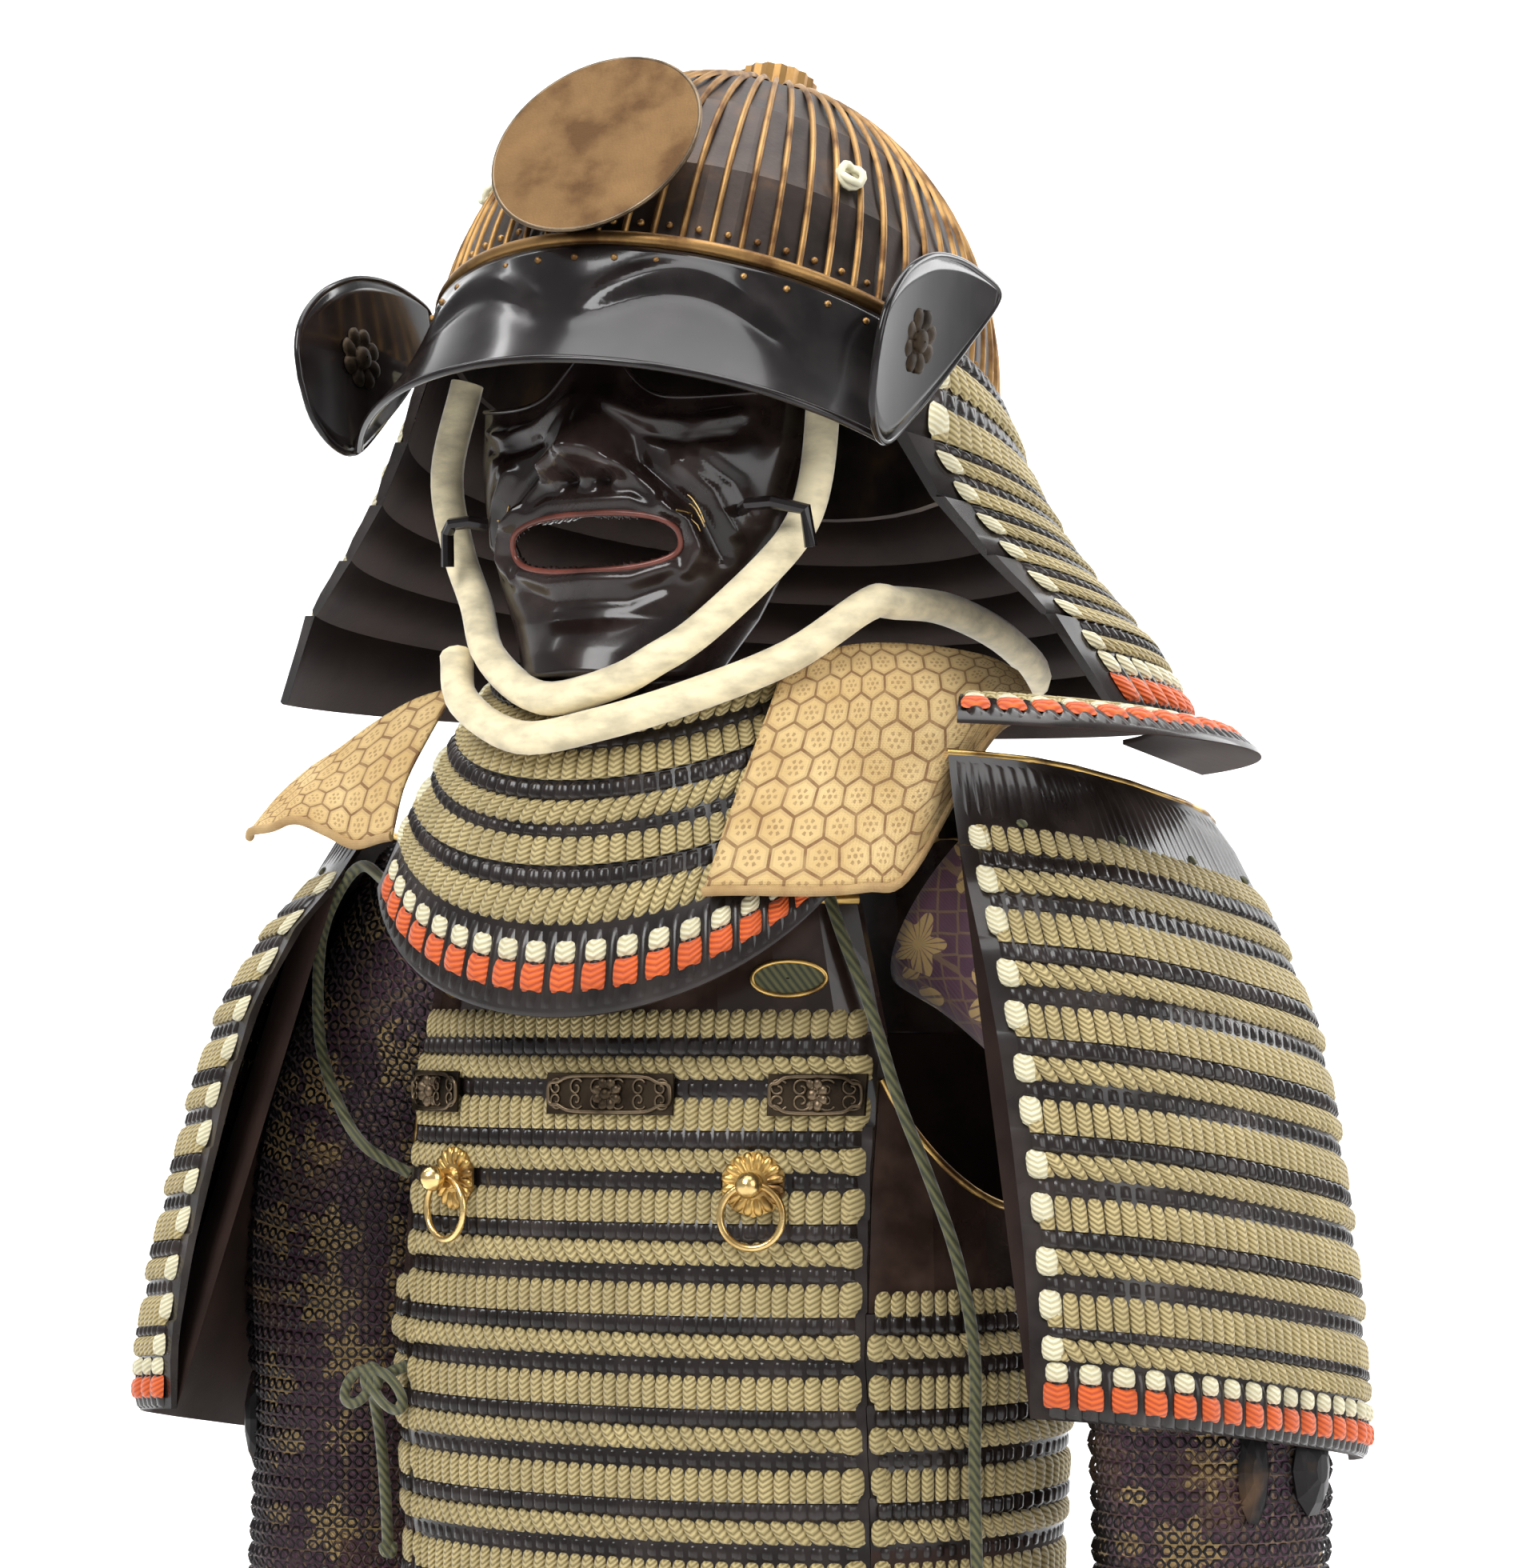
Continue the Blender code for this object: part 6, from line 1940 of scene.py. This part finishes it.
        bronze = self.finishes["bronze"]
        for name, start, end in FITTINGS:
            middle, half = (start + end) / 2, (end - start) / 2
            outline = []
            for t in round_turns(64):
                c, s = math.cos(t), math.sin(t)
                x = middle + (half - 0.9) * math.copysign(abs(c) ** 0.55, c)
                notch = 1.0 - 0.24 * math.exp(-((abs(c) - 0.72) / 0.16) ** 2)
                rise = (FITTING_HALF_HEIGHT - 1.1) * math.copysign(abs(s) ** 0.55, s) * notch
                outline.append(on(x, rise, 6.9))
            rod(f"{name}_rim", outline, 1.8, bronze, closed=True)
            facing = (on(middle, 0.0, 8.0) - on(middle, 0.0, 7.0)).normalized()
            medal = petalled_disc(on(middle, 0.0, 6.6), facing, 7.0, 2.0, 8)
            grid_piece(f"{name}_medal", medal, bronze)
            count = max(2, round(half / 4.6))
            for i in range(count):
                centre = middle - half + (i + 0.5) * 2 * half / count
                for k, way in enumerate((1, -1)):
                    scroll = []
                    for t in np.linspace(0.0, 1.0, 22):
                        radius, turn = 3.9 * (1 - 0.8 * t), way * (t * 7.4 + 0.6)
                        x, rise = centre + radius * math.cos(turn) * 0.9, way * 2.6 + radius * math.sin(turn)
                        scroll.append(on(x, rise, 6.9))
                    rod(f"{name}_scroll_{i + 1}_{k + 1}", scroll, 1.0, bronze, resolution=2)

    def rosettes(self) -> None:
        """Petals and smooth knobs over the rosettes, and round rings in their eyes."""
        for name, side in SIDES:
            origin, outwards, across, up = rosette_frame(side)
            flower = petalled_disc(origin + outwards * 0.9, outwards, ROSETTE_RADIUS - 0.2, 2.2, 16)
            grid_piece(f"rosette_{name}_petals", flower, self.finishes["gilt"])
            turns = np.linspace(0.0, math.tau, 33)
            knob = np.array(disc_rows(origin, (across, up, outwards), self.knob, turns))
            if side > 0:
                knob = knob[::-1]
            grid_piece(f"rosette_{name}_knob", knob, self.finishes["gold"])
            centre = origin + outwards * EYE_DEPTH - up * RING_RADIUS
            loop = [centre + (across * math.cos(t) + up * math.sin(t)) * RING_RADIUS for t in round_turns(64)]
            ring = rod(f"ring_{name}_smooth", loop, RING_THICKNESS, self.finishes["gold"],
                       closed=True, body=f"ring_{name}", resolution=4)
            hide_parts(f"ring_{name}")


def printed_material() -> bpy.types.Material:
    """Ochre hemp printed with brown hexagons, a small flower in each."""
    shader = Shader("printed_hemp", (0.42, 0.27, 0.10), 0.85)
    uv = shader.node("ShaderNodeUVMap", uv_map="braid")
    split = shader.node("ShaderNodeSeparateXYZ")
    shader.link(uv.outputs["UV"], split.inputs["Vector"])
    size = 0.0135
    px = shader.value("DIVIDE", split.outputs["Y"], size)
    py = shader.value("DIVIDE", split.outputs["X"], size)
    root = math.sqrt(3.0)

    def wrapped(place: Socket, shift: float, span: float) -> Socket:
        repeated = shader.value("FLOORED_MODULO", shader.value("ADD", place, shift), span)
        return shader.value("SUBTRACT", repeated, span / 2)

    def cell(shift_x: float, shift_y: float) -> tuple[Socket, Socket]:
        return wrapped(px, shift_x, 1.0), wrapped(py, shift_y, root)

    ax, ay = cell(0.0, 0.0)
    bx, by = cell(0.5, root / 2)

    def length(x: Socket, y: Socket) -> Socket:
        squares = shader.value("ADD", shader.value("MULTIPLY", x, x), shader.value("MULTIPLY", y, y))
        return shader.value("SQRT", squares)

    def hexagon(x: Socket, y: Socket) -> Socket:
        sx, sy = shader.value("ABSOLUTE", x), shader.value("ABSOLUTE", y)
        upwards = shader.value("MULTIPLY", sy, root / 2)
        slanted = shader.value("ADD", shader.value("MULTIPLY", sx, 0.5), upwards)
        return shader.value("MAXIMUM", sx, slanted)
    edge = shader.value("MINIMUM", hexagon(ax, ay), hexagon(bx, by))
    spot = shader.value("MINIMUM", length(ax, ay), length(bx, by))
    line = shader.value("GREATER_THAN", edge, 0.455)
    inner_line = shader.value("MULTIPLY", shader.value("GREATER_THAN", edge, 0.37), 0.22)

    def petals(x: Socket, y: Socket) -> Socket:
        lobes = shader.value("COSINE", shader.value("MULTIPLY", shader.value("ARCTAN2", y, x), 6.0))
        away = shader.value("ABSOLUTE", shader.value("SUBTRACT", length(x, y), 0.2))
        band = shader.value("LESS_THAN", away, 0.055)
        return shader.value("MULTIPLY", band, shader.value("GREATER_THAN", lobes, 0.1))
    ring = shader.value("MULTIPLY", shader.value("MAXIMUM", petals(ax, ay), petals(bx, by)), 0.6)
    dot = shader.value("MULTIPLY", shader.value("LESS_THAN", spot, 0.07), 0.6)
    drawn = shader.value("ADD", shader.value("ADD", line, inner_line), shader.value("ADD", ring, dot))
    ink = shader.value("MINIMUM", drawn, 1.0)
    worn = shader.value("MULTIPLY", ink, shader.value("ADD", shader.noise(160.0, 3.0), 0.4))
    ground = shader.ramp(shader.noise(38.0, 5.0), ((0.3, (0.54, 0.355, 0.14)), (0.7, (0.71, 0.52, 0.25))))
    shader.paint(shader.blend(worn, ground, (0.24, 0.125, 0.05)))
    weave = shader.node("ShaderNodeTexWave", wave_type="BANDS", bands_direction="X")
    weave.inputs["Scale"].default_value = 320.0
    shader.link(shader.object_coords(), weave.inputs["Vector"])
    other = shader.node("ShaderNodeTexWave", wave_type="BANDS", bands_direction="Z")
    other.inputs["Scale"].default_value = 320.0
    shader.link(shader.object_coords(), other.inputs["Vector"])
    shader.bump(shader.value("MAXIMUM", weave.outputs["Fac"], other.outputs["Fac"]), 0.25, 0.6)
    return shader.material


def brocade_material() -> bpy.types.Material:
    """Purple-brown silk with gold leaves and fine hexagon lines woven in."""
    shader = Shader("sleeve_brocade", (0.13, 0.05, 0.085), 0.5)
    leaves = shader.node("ShaderNodeTexVoronoi", feature="F1")
    leaves.inputs["Scale"].default_value = 31.0
    leaves.inputs["Randomness"].default_value = 0.55
    places = shader.object_coords()
    shader.link(places, leaves.inputs["Vector"])
    local = shader.node("ShaderNodeVectorMath", operation="SUBTRACT")
    shader.link(places, local.inputs[0])
    shader.link(leaves.outputs["Position"], local.inputs[1])
    split = shader.node("ShaderNodeSeparateXYZ")
    shader.link(local.outputs["Vector"], split.inputs["Vector"])
    sideways = shader.value("ADD", split.outputs["X"], split.outputs["Y"])
    around = shader.value("ARCTAN2", split.outputs["Z"], sideways)
    lobes = shader.value("COSINE", shader.value("MULTIPLY", around, 5.0))
    reach = shader.value("ADD", shader.value("MULTIPLY", lobes, 0.11), 0.38)
    distance = leaves.outputs["Distance"]
    body = shader.value("LESS_THAN", distance, reach)
    vein = shader.value("GREATER_THAN", shader.value("SINE", shader.value("MULTIPLY", around, 20.0)), 0.75)
    heart = shader.value("LESS_THAN", distance, 0.07)
    leaf = shader.value("SUBTRACT", body, shader.value("MULTIPLY", body, shader.value("MULTIPLY", vein, 0.8)))
    leaf = shader.value("MAXIMUM", leaf, heart)
    net = shader.node("ShaderNodeTexVoronoi", feature="DISTANCE_TO_EDGE")
    net.inputs["Scale"].default_value = 110.0
    net.inputs["Randomness"].default_value = 0.1
    shader.link(shader.object_coords(), net.inputs["Vector"])
    line = shader.value("LESS_THAN", net.outputs["Distance"], 0.06)
    ground = shader.ramp(shader.noise(24.0, 4.0), ((0.3, (0.085, 0.03, 0.06)), (0.7, (0.19, 0.085, 0.12))))
    lined = shader.blend(shader.value("MULTIPLY", line, 0.55), ground, (0.33, 0.22, 0.10))
    shader.paint(shader.blend(shader.value("MULTIPLY", leaf, 0.85), lined, (0.72, 0.49, 0.19)))
    twill = shader.node("ShaderNodeTexWave", wave_type="BANDS", bands_direction="DIAGONAL")
    twill.inputs["Scale"].default_value = 380.0
    shader.link(shader.object_coords(), twill.inputs["Vector"])
    shader.bump(twill.outputs["Fac"], 0.2, 0.5)
    shader.bump(leaf, 0.3, 0.5)
    shader.principled.inputs["Sheen Weight"].default_value = 0.35
    return shader.material


def cord_braid_material(name: str, light: Colour, dark: Colour) -> bpy.types.Material:
    """A round braid of fine strands, seen as crossed diagonals, with painted shade in the grooves between the
    strands.
    """
    shader = Shader(name, light, 0.6)
    wave = shader.node("ShaderNodeTexWave", wave_type="BANDS", bands_direction="DIAGONAL")
    wave.inputs["Scale"].default_value = 140.0
    shader.link(shader.object_coords(), wave.inputs["Vector"])
    # painted shade: the colour goes dark in the grooves that the same bands dent
    shader.paint(shader.blend(wave.outputs["Fac"], dark, light))
    shader.bump(wave.outputs["Fac"], 0.5, 0.8)
    shader.principled.inputs["Sheen Weight"].default_value = 0.3
    return shader.material


def paint_nodes(frame: dict, finishes: dict) -> None:
    """Gives every CAD node that still shows its finished material."""
    for name, obj in frame["nodes"].items():
        if obj.hide_render:
            continue
        for prefixes, finish in NODE_FINISHES:
            if name.startswith(prefixes):
                for place in obj.material_slots:
                    place.material = finishes[finish]
                if not obj.material_slots:
                    obj.data.materials.append(finishes[finish])
                break
        else:
            LOG.warning("no finish for %s", name)


NODE_FINISHES = (
    (("helmet_bowl",), "iron"),
    (("helmet_top_ring",), "ridge"),
    (("crest_bracket",), "lacquer"),
    (("crest_disc",), "crest"),
    (("mask_hook",), "lacquer"),
    (("breast_plate", "back_plate", "side_guard", "shoulder_strap"), "brown_lacquer"),
    (("breast_fitting",), "dark_bronze"),
    (("rosette",), "gilt"),
    (("arm_gourd", "arm_shell"), "black_iron"),
)


def build_materials() -> dict:
    """All materials of the armour by name."""
    plaits = braid_group()
    finishes = {
        "scales": lacquer_material("black_scales", (0.011, 0.0075, 0.0065), 0.22),
        # the second colour of each flat braid is the painted shade in the hollows between its plaits
        "khaki": braid_material("khaki_braid", (0.60, 0.485, 0.225), (0.19, 0.135, 0.045), plaits),
        "cream": braid_material("cream_braid", (0.88, 0.83, 0.60), (0.52, 0.45, 0.25), plaits),
        "orange": braid_material("orange_braid", (0.86, 0.145, 0.012), (0.42, 0.045, 0.006), plaits),
        "lining": leather_material("hide_lining", (0.030, 0.016, 0.012)),
        "gilt": gilt_material("gilt_copper"),
        "gold": gilt_material("bright_gilt", (0.78, 0.56, 0.24), 0.22, (0.42, 0.26, 0.09)),
        # the second colour of the olive braid is the painted shade in the grooves between its strands
        "olive_braid": cord_braid_material("olive_braid", (0.115, 0.112, 0.036), (0.022, 0.026, 0.009)),
        "lacquer": lacquer_material("black_lacquer", (0.006, 0.004, 0.004), 0.10),
        "brown_lacquer": lacquer_material("brown_lacquer", (0.020, 0.011, 0.008), 0.18),
        "mask": lacquer_material("mask_lacquer", (0.012, 0.007, 0.006), 0.12, 1.2),
        "lips": lacquer_material("red_lacquer", (0.085, 0.022, 0.014), 0.3),
        "iron": iron_material("russet_iron"),
        "ridge": gilt_material("ridge_copper", (0.32, 0.185, 0.07), 0.42, (0.13, 0.065, 0.026)),
        "black_iron": iron_material("black_iron", (0.02, 0.018, 0.018)),
        "mail": iron_material("mail_iron", (0.035, 0.030, 0.032)),
        "crest": gilt_material("crest_bronze", (0.17, 0.098, 0.042), 0.46, (0.10, 0.052, 0.022)),
        "bronze": gilt_material("fitting_bronze", (0.17, 0.125, 0.08), 0.36, (0.05, 0.035, 0.022)),
        "dark_bronze": gilt_material("fitting_ground", (0.05, 0.036, 0.024), 0.5, (0.018, 0.013, 0.01)),
        "cream_cord": velvet_material("cream_velvet", (0.86, 0.75, 0.50)),
        "printed": printed_material(),
        "brocade": brocade_material(),
    }
    lacing = ("scales", "khaki", "cream", "orange", "olive_braid", "lining")
    finishes["lacing_list"] = [finishes[key] for key in lacing]
    return finishes


def build_stage() -> None:
    """A plain pale floor that sweeps up behind, with large soft lights and a pale world."""
    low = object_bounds()[0][2] - 0.02
    rows = [(-3.5, low), (1.6, low), (2.6, low + 0.08), (3.4, low + 0.45), (3.9, low + 1.3), (4.1, 5.0)]
    line = smooth_route([Vector((0.0, y, z)) for y, z in rows], 8)
    turn = Matrix.Rotation(VIEW_AZIMUTH, 4, "Z")
    grid = np.array([[tuple(turn @ Vector((x, p.y, p.z))) for x in (-6.0, 6.0)] for p in line]) / MM
    paper = Shader("studio_paper", (0.92, 0.92, 0.92), 0.9)
    paper.paint(paper.ramp(paper.noise(3.0, 2.0), ((0.3, (0.91, 0.91, 0.91)), (0.7, (0.93, 0.93, 0.93)))))
    floor = link_new("studio_floor", grid_mesh("studio_floor", grid[:, ::-1], paper.material))
    for name, place, size, power in (
        ("key", TOWARDS * 1.5 - ACROSS * 1.1 + Vector((0.0, 0.0, 1.5)), 1.1, 40.0),
        ("fill", TOWARDS * 1.5 + ACROSS * 1.6 + Vector((0.0, 0.0, 0.6)), 1.4, 20.0),
        ("top", TOWARDS * 0.2 + Vector((0.0, 0.0, 2.0)), 1.6, 34.0),
        ("rim_light", ACROSS * 1.7 - TOWARDS * 0.9 + Vector((0.0, 0.0, 0.9)), 1.0, 16.0),
    ):
        data = bpy.data.lights.new(name, "AREA")
        data.size = size
        data.energy = power
        lamp = link_new(name, data)
        lamp.location = place
        lamp.rotation_euler = (-place).to_track_quat("-Z", "Y").to_euler()
    data = bpy.data.lights.new("backdrop_light", "AREA")
    data.shape = "RECTANGLE"
    data.size, data.size_y, data.energy = 5.0, 1.6, 250.0
    lamp = link_new("backdrop_light", data)
    lamp.location = TOWARDS * -0.9 + Vector((0.0, 0.0, 2.3))
    lamp.rotation_euler = (-TOWARDS * 2.6 - Vector((0.0, 0.0, 1.6))).to_track_quat("-Z", "Y").to_euler()
    world = bpy.data.worlds.new("studio")
    world.use_nodes = True
    background = world.node_tree.nodes["Background"]
    background.inputs["Color"].default_value = (0.95, 0.97, 1.0, 1.0)
    rays = world.node_tree.nodes.new("ShaderNodeLightPath")
    strength = world.node_tree.nodes.new("ShaderNodeMapRange")
    strength.inputs["To Min"].default_value = 0.40
    strength.inputs["To Max"].default_value = 1.0
    world.node_tree.links.new(rays.outputs["Is Camera Ray"], strength.inputs["Value"])
    world.node_tree.links.new(strength.outputs["Result"], background.inputs["Strength"])
    bpy.context.scene.world = world
    bpy.context.scene.view_settings.view_transform = "Standard"


def main() -> None:
    """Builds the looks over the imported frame."""
    logging.basicConfig(level=logging.INFO, format="%(message)s")
    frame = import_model()
    add_camera()
    finishes = build_materials()
    Cords(finishes).build()
    pivot = Matrix.Translation(HELMET_PIVOT * MM)
    leaning = Matrix.Rotation(HELMET_TURN, 4, "Z") @ Matrix.Rotation(HELMET_LEAN, 4, "Y")
    helmet_turn = pivot @ leaning @ pivot.inverted()
    walls = LacedWalls(finishes["lacing_list"], helmet_turn)
    walls.cuirass()
    walls.shoulder_guards()
    walls.neck_guard()
    walls.throat_guard()
    walls.tassets()
    HelmetTrim(helmet_turn, finishes).build()
    Mask(finishes).build()
    PlateTrim(finishes).build()
    Sleeves(finishes["brocade"], finishes["mail"]).build()
    build_collars(finishes["printed"])
    paint_nodes(frame, finishes)
    build_stage()


if __name__ == "__main__":
    main()
